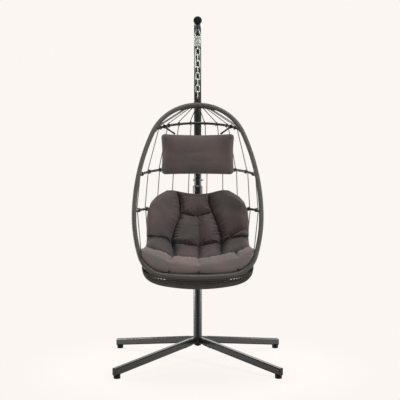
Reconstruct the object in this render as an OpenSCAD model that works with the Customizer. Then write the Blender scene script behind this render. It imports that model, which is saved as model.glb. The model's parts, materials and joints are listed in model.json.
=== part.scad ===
// Hanging egg chair: a basket with a tufted cushion hangs by a spring and a chain
// from a curved arm on a four-legged stand. Millimetres, +Z up, the basket's open
// side faces -Y. The origin lies on the floor under the middle of the chair.

/* [Stand] */
// Height of the stand, floor to the top of the arm's end cap
overall_height = 1944; // [1900:1:2000]
// Plan distance from the post to each foot
leg_reach = 610; // [560:1:680]
// Plan angle between the X axis and a front leg
front_leg_angle = 44.3; // [40:0.1:50]
// Plan angle between the X axis and a rear leg
rear_leg_angle = 36.9; // [33:0.1:43]
// Width of the leg tube
leg_w = 30; // [28:0.5:36]
// Height of the leg tube
leg_h = 40; // [36:0.5:46]
// Wall of the leg tube and of the hub's stubs
leg_wall = 1.5; // [1:0.1:2]
// Corner radius of the leg tube
leg_corner = 6; // [4:0.5:9]
// Height of the leg's centre line at the post's axis
leg_hub_z = 129; // [115:1:145]
// Plan distance from the post at which the leg tube begins
leg_start = 65; // [55:1:80]
// Length of a hub stub inside its leg
stub_in_leg = 70; // [50:1:100]
// Diameter of a foot
foot_d = 38; // [32:1:46]
// Height of a foot under its leg
foot_h = 20; // [16:1:28]
// Plate of a leg's end plug
plug_plate = 3; // [2:0.5:5]
// Diameter of the leg bolts and of the lock bolt
bolt_d = 8; // [6:1:10]

/* [Post] */
// Outer diameter of the lower post
post_d = 50; // [48:0.5:54]
// Wall of the posts and of the arm
post_wall = 1.7; // [1.2:0.1:2]
// Height at which the lower post ends inside the collar
post_top_z = 1000; // [960:1:1040]
// Outer diameter of the arm tube
arm_d = 42; // [40:0.5:44]
// Radius of the arm's bend, to the tube's centre line
arm_bend_r = 340; // [300:1:360]
// Distance from the post's axis forward to the hanging axis
hang_reach = 375; // [370:1:400]
// Arm tube past the hanging axis
arm_past_eye = 35; // [28:1:60]
// Outer diameter of the collar
collar_d = 55.5; // [54.5:0.5:60]
// Part of the collar below the lower post's end
collar_down = 79; // [60:1:100]
// Part of the collar above the lower post's end
collar_up = 31; // [24:1:40]
// Height of the lock bolt above the collar
lock_bolt_rise = 34; // [20:1:50]

/* [Suspension] */
// Wire of the eye under the arm and of the basket's eye
eye_wire = 8; // [7:0.5:9]
// Centre-line radius of both eyes
eye_r = 12; // [11.5:0.5:14]
// Drop of the eye's wire below the arm tube
eye_drop = 27.5; // [24:0.5:32]
// Wire of the two drawbars
drawbar_wire = 5; // [4:0.5:5.5]
// Distance of a drawbar's legs from the spring's axis
drawbar_leg = 11.3; // [11:0.1:12]
// Widest distance of the upper drawbar's wire from the axis
drawbar_shoulder = 16; // [14:0.5:18]
// Height from the upper drawbar's bearing wire to the coil's top
drawbar_rise = 38; // [36:1:44]
// Outer diameter of the coil spring
coil_d = 41; // [40:0.5:44]
// Wire of the coil spring
coil_wire = 4.8; // [4:0.1:5]
// Length of the coil spring
coil_length = 49.5; // [48:0.5:56]
// Curls of the coil spring
coil_turns = 7; // [6:1:7]
// Wire of a chain link
link_wire = 5.5; // [5:0.5:6]
// Outer width of a chain link
link_w = 25; // [24:0.5:27]
// Outer length of a chain link
link_l = 44.3; // [42:0.1:48]
// Height of the basket's eye above the hoop's centre line
basket_eye_rise = 41.3; // [38:0.1:50]

/* [Hoop] */
// Lean of the hoop: its foot hangs forward of its top
hoop_lean = 17.5; // [15:0.1:20]
// Length of the hoop down its plane, to centre lines
hoop_l = 941; // [920:1:970]
// Room between the seat cushion's side and the hoop's centre line at its widest
hoop_room = 57; // [50:1:65]
// Share of the hoop's length at which it is widest
hoop_widest_at = 0.645; // [0.63:0.005:0.66]
// Radius of the hoop's side above the greatest width
hoop_upper_r = 1154; // [1100:1:1250]
// Radius of the hoop's side below the greatest width
hoop_lower_r = 759; // [700:1:820]
// Radius of the hoop's lower corners
hoop_corner_r = 142; // [120:1:160]
// Radius of the hoop's foot
hoop_foot_r = 1620; // [1200:10:2200]
// Outer diameter of the wicker on the hoop
hoop_d = 25; // [24:0.5:27]
// Outer diameter of the steel tube inside the wicker
hoop_core_d = 22; // [19:0.5:22.5]
// Wall of the steel tubes in the basket
hoop_wall = 1.2; // [1:0.1:1.6]

/* [Rings] */
// Outer diameter of the rings behind the hoop
ring_d = 14; // [12:0.5:15]
// Share of the hoop's length down to the first ring
ring_1_at = 0.17; // [0.16:0.005:0.185]
// Straight legs of the first ring
ring_1_leg = 2; // [1:1:15]
// Rise of the first ring to the rear
ring_1_tilt = 14.8; // [10:0.1:18]
// Share of the hoop's length down to the second ring
ring_2_at = 0.438; // [0.425:0.001:0.45]
// Straight legs of the second ring
ring_2_leg = 60; // [50:1:65]
// Rise of the second ring to the rear
ring_2_tilt = 8; // [5:0.1:11]
// Share of the hoop's length down to the third ring
ring_3_at = 0.639; // [0.627:0.001:0.65]
// Straight legs of the third ring
ring_3_leg = 90; // [85:1:95]
// Rise of the third ring to the rear
ring_3_tilt = 1.5; // [0:0.1:3]
// Share of the hoop's length down to the fourth ring
ring_4_at = 0.857; // [0.847:0.001:0.862]
// Straight legs of the fourth ring
ring_4_leg = 90; // [85:1:95]
// Rise of the fourth ring to the rear
ring_4_tilt = -4.5; // [-7:0.1:-2]
// Share of the hoop's length down to the base ring
base_ring_at = 0.935; // [0.927:0.001:0.941]
// Straight legs of the base ring
base_ring_leg = 40; // [36:1:50]
// Rise of the base ring to the rear
base_ring_tilt = -12; // [-14:0.1:-9]

/* [Ropes] */
// Diameter of a back rope
rope_d = 5; // [4:0.5:6]
// Angle round the rings from the middle to the first rope
rope_first = 9; // [7:0.1:11]
// Angle round the rings from rope to rope
rope_step = 16.25; // [15:0.05:16.5]
// Distance from the middle to the first rope's tie on top of the hoop
tie_first = 10; // [8:1:14]
// Distance from tie to tie on top of the hoop
tie_step = 18; // [15:1:22]
// Share of the hoop's length down to the outermost rope's tie
side_tie_at = 0.273; // [0.24:0.001:0.3]
// Distance of the outermost rope behind the hoop
side_rope_back = 25; // [24:1:28]
// Diameter of a seat strand
strand_d = 8; // [6:0.5:10]
// Distance from strand to strand along the base ring's legs
strand_step = 15; // [14:0.5:18]
// Sag of the seat strands below the base ring
strand_sag = 118; // [110:1:125]
// Radius of the seat strands' flat bottom
strand_bottom_r = 1000; // [900:10:1400]

/* [Cushions] */
// Width of the seat cushion
seat_w = 550; // [530:1:580]
// Length of its back, down to the bend
back_l = 278; // [270:1:282]
// Radius of its bend
bend_r = 120; // [115:1:125]
// Length of its seat, past the bend
seat_l = 260; // [252:1:264]
// Thickness of its back and of its top padding
pad_t = 52; // [45:1:54]
// Height of the front roll over its middle line
roll_t = 30; // [24:1:36]
// Depth of the seat's padding down to the strands
seat_depth = 113; // [105:1:113]
// Depth of its sewn channels
channel_depth = 16; // [10:1:22]
// Depth of its tufts
tuft_depth = 26; // [15:1:35]
// Width of the head pillow
pillow_w = 402; // [380:1:410]
// Height of the head pillow
pillow_h = 226; // [210:1:230]
// Thickness of the head pillow
pillow_t = 100; // [85:1:105]

/* [Hidden] */
$fn = 48;
fit_gap = 0.3;
weld = 0.1;
big = 400;
frame_black = [0.19, 0.2, 0.2];
zinc = [0.74, 0.75, 0.72];
rattan = [0.38, 0.37, 0.34];
cord_grey = [0.47, 0.45, 0.42];
cloth = [0.31, 0.29, 0.28];

// Stand
tip_z = foot_h + leg_h / 2;
leg_slope = atan((leg_hub_z - tip_z) / leg_reach);
leg_tip = leg_reach + foot_d / 2;
leg_angles = [180 + front_leg_angle, -front_leg_angle, 180 - rear_leg_angle, rear_leg_angle];
hub_bottom_z = leg_hub_z - leg_h / 2 - 5;
hub_top_z = leg_hub_z + leg_h / 2 + 3;
hub_bore = post_d - 4 * post_wall - 2 * fit_gap;
spigot_rise = 80;
bolt_head_af = 1.65 * bolt_d;
bolt_head_h = 0.65 * bolt_d;
leg_bolt_at = leg_start + stub_in_leg / 2;
cap_d = arm_d + 3;
arm_z = overall_height - cap_d / 2;
arm_bore = arm_d - 2 * post_wall;
spigot_d = arm_bore - 2 * fit_gap;
collar_web = 12;
arm_foot_z = post_top_z + collar_web;
lock_bolt_z = post_top_z + collar_up + lock_bolt_rise;
rear_reach = leg_reach * sin(rear_leg_angle) + foot_d / 2;
front_reach = hang_reach + hoop_l * sin(hoop_lean) + hoop_d / 2;
hoop_half_w = seat_w / 2 + hoop_room;
hoop_widest = hoop_widest_at * hoop_l;
stand_shift = (front_reach - rear_reach) / 2;

// Suspension, from the arm down
eye_z = arm_z - arm_d / 2 - eye_drop;
hook_z = eye_z + (eye_wire + drawbar_wire) / 2 + fit_gap;
coil_top_z = hook_z - drawbar_rise;
coil_bottom_z = coil_top_z - coil_length;
upper_hook_z = coil_bottom_z - drawbar_wire / 2 - fit_gap;
lower_hook_z = coil_top_z + drawbar_wire / 2 + fit_gap;
hook_out = coil_d / 2 - 1.5;
lower_loop_z = upper_hook_z - drawbar_wire - 9.5;
link_c = link_l - link_wire;
link_half = (link_w - link_wire) / 2;
link_pitch = link_c - link_wire - fit_gap;
first_link_z = lower_loop_z + (drawbar_wire + link_wire) / 2 + fit_gap - link_c / 2;
links = 8;
last_link_foot_z = first_link_z - (links - 1) * link_pitch - link_c / 2;
basket_eye_z = last_link_foot_z + (link_wire + eye_wire) / 2 + fit_gap;
hoop_top_z = basket_eye_z - basket_eye_rise;

// Hoop outline in its plane: x across, y up from the top of the centre line
upper_cx = hoop_half_w - hoop_upper_r;
top_r = (pow(hoop_upper_r, 2) - pow(upper_cx, 2) - pow(hoop_widest, 2))
    / (2 * (hoop_upper_r - hoop_widest));
top_angle = atan2(hoop_widest - top_r, -upper_cx);
lower_cx = hoop_half_w - hoop_lower_r;
foot_cy = hoop_foot_r - hoop_l;
lower_to_corner = hoop_lower_r - hoop_corner_r;
foot_to_corner = hoop_foot_r - hoop_corner_r;
centres_d = norm([lower_cx, foot_cy + hoop_widest]);
along = (pow(lower_to_corner, 2) - pow(foot_to_corner, 2) + pow(centres_d, 2))
    / (2 * centres_d);
aside = sqrt(pow(lower_to_corner, 2) - pow(along, 2));
toward = [-lower_cx, foot_cy + hoop_widest] / centres_d;
corner_c = [lower_cx, -hoop_widest] + along * toward + aside * [toward[1], -toward[0]];
lower_angle = atan2(corner_c[1] + hoop_widest, corner_c[0] - lower_cx);
foot_angle = atan2(corner_c[1] - foot_cy, corner_c[0]);
top_end = top_r * (1 - sin(top_angle));
corner_start = -corner_c[1] - hoop_corner_r * sin(lower_angle);

ring_drops = hoop_l * [ring_1_at, ring_2_at, ring_3_at, ring_4_at, base_ring_at];
side_tie_drop = side_tie_at * hoop_l;
ring_legs = [ring_1_leg, ring_2_leg, ring_3_leg, ring_4_leg, base_ring_leg];
ring_tilts = [ring_1_tilt, ring_2_tilt, ring_3_tilt, ring_4_tilt, base_ring_tilt];
base = 4;
rope_off = (ring_d + rope_d) / 2 + fit_gap;
tie_off = (hoop_d + rope_d) / 2 + fit_gap;
strand_off = ring_d / 2 + fit_gap;
through_ropes = 5;

// Centre and radius of the hoop's arc at a distance s down the plane
function hoop_arc(s) =
    s < top_end ? [0, -top_r, top_r]
    : s < hoop_widest ? [upper_cx, -hoop_widest, hoop_upper_r]
    : s < corner_start ? [lower_cx, -hoop_widest, hoop_lower_r]
    : [corner_c[0], corner_c[1], hoop_corner_r];
function hoop_x(s) =
    let (a = hoop_arc(s)) a[0] + sqrt(pow(a[2], 2) - pow(s + a[1], 2));
function hoop_normal(s) = let (a = hoop_arc(s)) atan2(-s - a[1], hoop_x(s) - a[0]);
// A point of the hoop's plane, z towards the sitter, in the stand's frame
function from_hoop(p) = [
    p[0],
    -hang_reach + p[1] * sin(hoop_lean) - p[2] * cos(hoop_lean),
    hoop_top_z + p[1] * cos(hoop_lean) + p[2] * sin(hoop_lean)];
function ring_a(i) = hoop_x(ring_drops[i]);
// A point of ring i's plane, y to the rear, in the stand's frame
function from_ring(i, p) =
    from_hoop([0, -ring_drops[i], 0])
    + [p[0],
        p[1] * cos(ring_tilts[i]) - p[2] * sin(ring_tilts[i]),
        p[1] * sin(ring_tilts[i]) + p[2] * cos(ring_tilts[i])];
function on_bend(i, angle, out) =
    [(ring_a(i) + out) * sin(angle), ring_legs[i] + (ring_a(i) + out) * cos(angle), 0];
function ring_centre(i, angle) = from_ring(i, on_bend(i, angle, 0));
function leg_point(i, back) = from_ring(i, [ring_a(i), back, 0]);
function rope_angle(k) = rope_first + k * rope_step;
function unit(v) = v / norm(v);
// Angle by which a path turns at point q
function turn(p, q, r) = acos(unit(q - p) * unit(r - q));

// Shared shapes
module placed() translate([0, stand_shift, 0]) children();
module at_hang_axis() placed() translate([0, -hang_reach, 0]) children();
module at_hoop() at_hang_axis() translate([0, 0, hoop_top_z]) rotate([90 - hoop_lean, 0, 0]) children();
module at_ring(i) placed() translate(from_hoop([0, -ring_drops[i], 0])) rotate([ring_tilts[i], 0, 0]) children();
module both_sides() {
    children();
    mirror([1, 0, 0]) children();
}
module rounded_rect(w, h, r) {
    square([w - 2 * r, h], center = true);
    square([w, h - 2 * r], center = true);
    for (x = [-1, 1], y = [-1, 1])
        translate([x * (w / 2 - r), y * (h / 2 - r)]) circle(r);
}
module torus(path_r, wire_r) rotate_extrude() translate([path_r, 0]) circle(wire_r);
// An arc of round bar in the XY plane, from angle a0 to angle a1
module arc_bar(c, path_r, a0, a1, wire_r)
    translate([c[0], c[1], 0]) rotate([0, 0, a0])
        rotate_extrude(angle = a1 - a0, $fn = path_r > 400 ? 360 : path_r > 60 ? 120 : 48)
            translate([path_r, 0]) circle(wire_r, $fn = 48);
// The same arc, a little short at both ends, for a weld to close
module welded_arc(c, path_r, a0, a1, wire_r) {
    short = weld / path_r * 180 / PI;
    arc_bar(c, path_r, a0 + short, a1 - short, wire_r);
}
// A straight round bar from p to q
module bar(p, q, wire_r) {
    d = q - p;
    translate(p) rotate([0, acos(d[2] / norm(d)), atan2(d[1], d[0])]) cylinder(r = wire_r, h = norm(d));
}
// Round bars through a list of points, with a ball round each bend
module bent_bar(points, wire_r) {
    last = len(points) - 1;
    short = [for (i = [0 : last])
        i == 0 || i == last ? 0 : weld + wire_r * tan(turn(points[i - 1], points[i], points[i + 1]) / 2)];
    for (i = [0 : last - 1]) {
        way = unit(points[i + 1] - points[i]);
        bar(points[i] + short[i] * way, points[i + 1] - short[i + 1] * way, wire_r);
    }
    for (i = [1 : last - 1]) translate(points[i]) sphere(norm([wire_r, short[i]]) + weld);
}
module pipe(outer_d, wall, h) difference() {
    cylinder(d = outer_d, h = h);
    translate([0, 0, -1]) cylinder(d = outer_d - 2 * wall, h = h + 2);
}
module hexagon(af, h) cylinder(d = af / cos(30), h = h, $fn = 6);

// Stand
// The leg's own frame: x outward along its centre line, from the post's axis
module along_leg(angle)
    placed() rotate([0, 0, angle]) translate([0, 0, leg_hub_z]) rotate([0, leg_slope, 0]) children();
module leg_bar(w, h, r, from, to)
    translate([from, 0, 0]) rotate([90, 0, 90]) linear_extrude(to - from) rounded_rect(w, h, r);
module leg_tube(angle) {
    difference() {
        along_leg(angle) difference() {
            leg_bar(leg_w, leg_h, leg_corner, leg_start / cos(leg_slope), leg_tip + 20);
            leg_bar(leg_w - 2 * leg_wall, leg_h - 2 * leg_wall, leg_corner - leg_wall, 0, leg_tip + 30);
            translate([leg_bolt_at, 0, -leg_h]) cylinder(d = bolt_d + 2 * fit_gap, h = leg_h);
        }
        beyond_leg(angle, leg_tip - plug_plate);
    }
}
// Everything farther out than a plan distance along a leg
module beyond_leg(angle, from)
    placed() rotate([0, 0, angle]) translate([from, -big / 2, -big / 2]) cube([big, big, big]);
module leg_bolt(angle) along_leg(angle) translate([leg_bolt_at, 0, -leg_h / 2]) {
    translate([0, 0, -bolt_head_h]) hexagon(bolt_head_af, bolt_head_h);
    cylinder(d = bolt_d, h = leg_wall * 2 + 10);
}
module end_plug(angle) difference() {
    union() {
        difference() {
            along_leg(angle) leg_bar(leg_w, leg_h, leg_corner, leg_tip - 60, leg_tip + 20);
            placed() rotate([0, 0, angle]) translate([leg_tip - plug_plate - big, -big / 2, -big / 2])
                cube([big, big, big]);
        }
        difference() {
            along_leg(angle) leg_bar(leg_w - 2 * leg_wall - 2 * fit_gap,
                leg_h - 2 * leg_wall - 2 * fit_gap, leg_corner - leg_wall, leg_tip - foot_d, leg_tip + 20);
            beyond_leg(angle, leg_tip - plug_plate);
        }
    }
    beyond_leg(angle, leg_tip);
}
module foot(angle) color(frame_black) difference() {
    placed() rotate([0, 0, angle]) translate([leg_reach, 0, 0]) union() {
        cylinder(d1 = foot_d - 3, d2 = foot_d, h = 1.5);
        translate([0, 0, 1.5]) cylinder(d = foot_d, h = foot_h + leg_h / 2);
    }
    along_leg(angle) translate([leg_reach / 2, -big / 2, -leg_h / 2]) cube([leg_reach, big, big]);
}
module base_hub() color(frame_black) difference() {
    union() {
        placed() translate([0, 0, hub_bottom_z]) cylinder(d = post_d, h = hub_top_z - hub_bottom_z);
        placed() translate([0, 0, hub_top_z])
            cylinder(d = post_d - 2 * post_wall - 2 * fit_gap, h = spigot_rise);
        for (angle = leg_angles)
            along_leg(angle) leg_bar(leg_w - 2 * leg_wall - 2 * fit_gap, leg_h - 2 * leg_wall - 2 * fit_gap,
                leg_corner - leg_wall, 0, leg_start + stub_in_leg);
    }
    placed() translate([0, 0, hub_bottom_z - 1])
        cylinder(d = hub_bore, h = hub_top_z + spigot_rise - hub_bottom_z + 2);
    for (angle = leg_angles) along_leg(angle) {
        leg_bar(leg_w - 4 * leg_wall, leg_h - 4 * leg_wall, leg_corner - 2 * leg_wall,
            post_d / 2, leg_start + stub_in_leg + 1);
        translate([leg_bolt_at, 0, -leg_h]) cylinder(d = bolt_d + 2 * fit_gap, h = leg_h);
    }
}
module post_bottom_plug() color(frame_black) {
    dome_h = 0.32 * post_d;
    dome_r = (pow(post_d / 2, 2) + pow(dome_h, 2)) / (2 * dome_h);
    placed() translate([0, 0, hub_bottom_z]) {
        intersection() {
            translate([0, 0, dome_r - dome_h]) sphere(dome_r, $fn = 96);
            translate([0, 0, -dome_h]) cylinder(d = post_d, h = dome_h);
        }
        cylinder(d = hub_bore - 2 * fit_gap, h = 25);
    }
}
module front_leg_left() color(frame_black) leg_tube(leg_angles[0]);
module front_leg_right() color(frame_black) leg_tube(leg_angles[1]);
module rear_leg_left() color(frame_black) leg_tube(leg_angles[2]);
module rear_leg_right() color(frame_black) leg_tube(leg_angles[3]);
module leg_end_plugs() color(frame_black) for (angle = leg_angles) end_plug(angle);
module front_foot_left() foot(leg_angles[0]);
module front_foot_right() foot(leg_angles[1]);
module rear_foot_left() foot(leg_angles[2]);
module rear_foot_right() foot(leg_angles[3]);
module leg_bolts() color(zinc) for (angle = leg_angles) leg_bolt(angle);

// Post and arm
module lower_post() color(frame_black)
    placed() translate([0, 0, hub_top_z]) pipe(post_d, post_wall, post_top_z - hub_top_z);
module post_collar() color(frame_black) placed() translate([0, 0, post_top_z - collar_down]) difference() {
    rotate_extrude() polygon([[0, 0], [collar_d / 2 - 1.5, 0], [collar_d / 2, 1.5],
        [collar_d / 2, collar_down + collar_up - 3], [collar_d / 2 - 3, collar_down + collar_up],
        [0, collar_down + collar_up]]);
    translate([0, 0, -1]) cylinder(d = post_d + 2 * fit_gap, h = collar_down + 1);
    cylinder(d = spigot_d + 2 * fit_gap, h = collar_down + collar_up);
    translate([0, 0, collar_down + collar_web]) cylinder(d = arm_d + 2 * fit_gap, h = collar_up);
}
module lock_hole() translate([-arm_d, 0, lock_bolt_z]) rotate([0, 90, 0])
    cylinder(d = bolt_d + 2 * fit_gap, h = 2 * arm_d);
module post_spigot() color(frame_black) placed() difference() {
    translate([0, 0, post_top_z - collar_down]) pipe(spigot_d, post_wall, collar_down + collar_up + 90);
    lock_hole();
}
module arm_sweep(r) {
    cylinder(r = r, h = arm_z - arm_bend_r - arm_foot_z);
    translate([0, -arm_bend_r, arm_z - arm_bend_r - arm_foot_z]) rotate([90, 0, 90])
        arc_bar([0, 0], arm_bend_r, 0, 90, r);
    translate([0, -arm_bend_r, arm_z - arm_foot_z]) rotate([90, 0, 0])
        cylinder(r = r, h = hang_reach + arm_past_eye - arm_bend_r);
}
module upper_arm() color(frame_black) placed() difference() {
    translate([0, 0, arm_foot_z]) difference() {
        arm_sweep(arm_d / 2);
        arm_sweep(arm_bore / 2);
    }
    lock_hole();
}
module lock_bolt() color(zinc) placed() translate([0, 0, lock_bolt_z]) rotate([0, 90, 0]) {
    translate([0, 0, -arm_d / 2 - bolt_head_h]) hexagon(bolt_head_af, bolt_head_h);
    translate([0, 0, -arm_d / 2]) cylinder(d = bolt_d, h = arm_d + 2.5 * bolt_head_h);
}
module lock_nut() color(zinc) placed() translate([arm_d / 2, 0, lock_bolt_z]) rotate([0, 90, 0]) difference() {
    hexagon(bolt_head_af, 1.2 * bolt_head_h);
    translate([0, 0, -1]) cylinder(d = bolt_d + 2 * fit_gap, h = 3 * bolt_head_h);
}
module arm_end_cap() color([0.1, 0.1, 0.1]) placed()
    translate([0, -hang_reach - arm_past_eye, arm_z]) rotate([90, 0, 0]) {
        rotate_extrude() polygon([[0, 0], [cap_d / 2, 0], [cap_d / 2, 8], [cap_d / 2 - 2, 11],
            [cap_d / 2 - 6, 13], [0, 14]]);
        translate([0, 0, -20]) cylinder(d = arm_bore - 2 * fit_gap, h = 20);
    }
module hanging_eye() color(frame_black) at_hang_axis() difference() {
    translate([0, 0, eye_z + eye_r]) {
        rotate([90, 0, 90]) arc_bar([0, 0], eye_r, 180, 360, eye_wire / 2);
        for (y = [-eye_r, eye_r]) translate([0, y, 0]) cylinder(d = eye_wire, h = eye_drop);
    }
    translate([0, big / 2, arm_z]) rotate([90, 0, 0]) cylinder(d = arm_d, h = big);
}

// Suspension
// A drawbar's hook: its leg comes down from "from" and bends outward at level 0
module drawbar_hook(from) {
    bend_r = 1.2 * drawbar_wire;
    translate([drawbar_leg, 0, bend_r]) cylinder(d = drawbar_wire, h = from - bend_r);
    translate([drawbar_leg + bend_r, 0, bend_r]) rotate([90, 0, 0]) arc_bar([0, 0], bend_r, 180, 270, drawbar_wire / 2);
    translate([drawbar_leg + bend_r, 0, 0]) rotate([0, 90, 0])
        cylinder(d = drawbar_wire, h = hook_out - drawbar_leg - bend_r);
}
module upper_drawbar() color(zinc) at_hang_axis() {
    wire_r = drawbar_wire / 2;
    bow_r = 0.75 * drawbar_leg;
    neck_z = coil_top_z + 3;
    translate([0, 0, hook_z - bow_r]) rotate([90, 0, 0]) welded_arc([0, 0], bow_r, 0, 180, wire_r);
    both_sides() {
        bent_bar([[bow_r, 0, hook_z - bow_r - 2], [drawbar_shoulder, 0, coil_top_z + 14],
            [drawbar_leg, 0, neck_z]], wire_r);
        translate([bow_r, 0, hook_z - bow_r]) sphere(wire_r + weld);
        translate([drawbar_leg, 0, neck_z]) sphere(wire_r + 3 * weld);
        translate([0, 0, upper_hook_z]) drawbar_hook(neck_z - upper_hook_z - weld);
    }
}
module lower_drawbar() color(zinc) at_hang_axis() rotate([0, 0, 90]) {
    wire_r = drawbar_wire / 2;
    loop_z = lower_loop_z + drawbar_leg;
    translate([0, 0, loop_z]) rotate([90, 0, 0]) arc_bar([0, 0], drawbar_leg, 180, 360, wire_r);
    for (turned = [0, 180]) rotate([0, 0, turned]) translate([0, 0, lower_hook_z]) mirror([0, 0, 1])
        drawbar_hook(lower_hook_z - loop_z);
}
coil_path_r = (coil_d - coil_wire) / 2;
coil_rise = coil_length - coil_wire;
coil_rings = 8 * coil_turns;
coil_sides = 6;
coil_end_rise = coil_wire + 2 * fit_gap;
// Height of ring i: both end curls lie flat for three quarters of a turn
function coil_height(i) = lookup(i, [[6, 0], [8, coil_end_rise],
    [coil_rings - 8, coil_rise - coil_end_rise], [coil_rings - 6, coil_rise]]);
// Corner j of ring i of the coil's six-sided wire
function coil_corner(i, j) =
    let (a = 45 * i, b = 360 * j / coil_sides, r = coil_path_r + coil_wire / 2 * cos(b))
    [r * cos(a), r * sin(a), coil_wire / 2 + coil_height(i) + coil_wire / 2 * sin(b)];
function coil_centre(i) = [coil_path_r * cos(45 * i), coil_path_r * sin(45 * i), coil_height(i)];
coil_gap = min([for (i = [0 : coil_rings - 7]) for (j = [i + 6 : min(i + 10, coil_rings)])
    norm(coil_centre(i) - coil_centre(j))]) - coil_wire;
echo(coil_gap = coil_gap);
module coil_spring() color(zinc) at_hang_axis() translate([0, 0, coil_bottom_z])
    tube_mesh([for (i = [0 : coil_rings]) [for (j = [0 : coil_sides - 1]) coil_corner(i, j)]]);
// A closed tube through rings of corners, with flat ends
module tube_mesh(rings) {
    n = len(rings[0]);
    last = (len(rings) - 1) * n;
    sides = [for (i = [0 : len(rings) - 2], j = [0 : n - 1])
        let (a = i * n + j, b = i * n + (j + 1) % n) each [[a, b, a + n], [b, b + n, a + n]]];
    ends = [for (j = [1 : n - 2]) each [[0, j + 1, j], [last, last + j, last + j + 1]]];
    polyhedron([for (ring = rings) each ring], concat(sides, ends));
}
// One link, upright in the XZ plane, centred
module chain_link() {
    straight = link_c - 2 * link_half;
    for (side = [-1, 1]) {
        translate([side * link_half, 0, -straight / 2]) cylinder(d = link_wire, h = straight);
        translate([0, 0, side * straight / 2]) rotate([90, 0, 0])
            arc_bar([0, 0], link_half, side > 0 ? 0 : 180, side > 0 ? 180 : 360, link_wire / 2);
    }
}
module chain_links(from, to) color(zinc) at_hang_axis() for (i = [from : to])
    translate([0, 0, first_link_z - i * link_pitch]) rotate([0, 0, i % 2 * 90]) chain_link();
module chain_top_links() chain_links(0, 1);
module chain_middle_links() chain_links(2, 4);
module chain_bottom_links() chain_links(5, links - 1);
module basket_eye() color(frame_black) at_hang_axis() difference() {
    translate([0, 0, basket_eye_z - eye_r]) {
        rotate([90, 0, 0]) arc_bar([0, 0], eye_r, 0, 180, eye_wire / 2);
        for (x = [-eye_r, eye_r]) translate([x, 0, -basket_eye_rise + eye_r]) cylinder(d = eye_wire, h = basket_eye_rise - eye_r);
    }
    translate([-big / 2, 0, hoop_top_z]) rotate([0, 90, 0]) cylinder(d = hoop_d + 2 * fit_gap, h = big);
}

// Hoop
module arc_weld(c, path_r, angle, r)
    translate([c[0] + path_r * cos(angle), c[1] + path_r * sin(angle), 0]) rotate([0, 0, angle]) rotate([90, 0, 0])
        cylinder(r = r + 2 * weld, h = 40 * weld, center = true);
module hoop_loop(r) {
    welded_arc([0, -top_r], top_r, top_angle, 180 - top_angle, r);
    welded_arc([0, foot_cy], hoop_foot_r, -180 - foot_angle, foot_angle, r);
    both_sides() {
        arc_weld([0, -top_r], top_r, top_angle, r);
        welded_arc([upper_cx, -hoop_widest], hoop_upper_r, 0, top_angle, r);
        arc_weld([upper_cx, -hoop_widest], hoop_upper_r, 0, r);
        welded_arc([lower_cx, -hoop_widest], hoop_lower_r, lower_angle, 0, r);
        arc_weld(corner_c, hoop_corner_r, lower_angle, r);
        welded_arc(corner_c, hoop_corner_r, foot_angle, lower_angle, r);
        arc_weld(corner_c, hoop_corner_r, foot_angle, r);
    }
}
module hoop_tube() color(frame_black) at_hoop() difference() {
    hoop_loop(hoop_core_d / 2);
    hoop_loop(hoop_core_d / 2 - hoop_wall);
}
module hoop_wicker() color(rattan) at_hoop() difference() {
    hoop_loop(hoop_d / 2);
    hoop_loop(hoop_core_d / 2 + fit_gap / 2);
}

// Rings, each coped to the hoop's wicker
module ring_loop(i, r) {
    a = ring_a(i);
    leg = ring_legs[i];
    arc_bar([0, leg], a, 0, 180, r);
    for (x = [-a, a]) translate([x, leg, 0]) rotate([90, 0, 0]) cylinder(r = r, h = leg);
}
module hoop_cope(i) {
    s = ring_drops[i];
    at_hoop() both_sides() translate([hoop_x(s), -s, 0]) rotate([0, 0, hoop_normal(s)]) rotate([90, 0, 0])
        cylinder(d = hoop_d + 2 * fit_gap, h = 4 * hoop_d, center = true);
}
module ring(i) color(frame_black) difference() {
    at_ring(i) difference() {
        ring_loop(i, ring_d / 2);
        ring_loop(i, ring_d / 2 - hoop_wall);
    }
    hoop_cope(i);
}
module ring_1() ring(0);
module ring_2() ring(1);
module ring_3() ring(2);
module ring_4() ring(3);
module base_ring() ring(base);

// Back ropes: each starts behind the hoop and bends round every ring that it passes
// A rope's corner at ring i, square to the ring and to the rope's way past it
function ring_corner(i, c, along_ring, before, after) =
    let (half_turn = i == base ? 0 : turn(before, c, after) / 2)
    c + (rope_off + fit_gap) / cos(half_turn) * unit(cross(along_ring, after - before));
module through_rope(k) {
    x = tie_first + k * tie_step;
    normal = acos(x / top_r);
    s = top_r * (1 - sin(normal));
    inward = tie_off * cos(45);
    tie = from_hoop([x - inward * cos(normal), -s - inward * sin(normal), -inward]);
    angle = rope_angle(k);
    way = [tie, for (i = [0 : base]) ring_centre(i, angle), ring_centre(base, angle)];
    bent_bar([tie, for (i = [0 : base])
        ring_corner(i, way[i + 1], ring_centre(i, angle + 1) - way[i + 1], way[i], way[i + 2])], rope_d / 2);
}
module side_rope() {
    tie = from_hoop([hoop_x(side_tie_drop), -side_tie_drop, -tie_off]);
    way = [tie, for (i = [1 : base]) leg_point(i, side_rope_back), leg_point(base, side_rope_back)];
    bent_bar([tie, for (i = [1 : base])
        ring_corner(i, way[i], leg_point(i, 0) - way[i], way[i - 1], way[i + 1])], rope_d / 2);
}
module back_ropes() color(cord_grey) placed() both_sides() {
    for (k = [0 : through_ropes - 1]) through_rope(k);
    side_rope();
}

// Seat strands: bars that hang side by side from the base ring and make a bowl
strand_count = 18;
strand_first = 20;
bowl_middle = 0.5 * (base_ring_leg + ring_a(base));
bowl_reach = 1.06 * bowl_middle;
strand_corner = 0.6;
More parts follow.
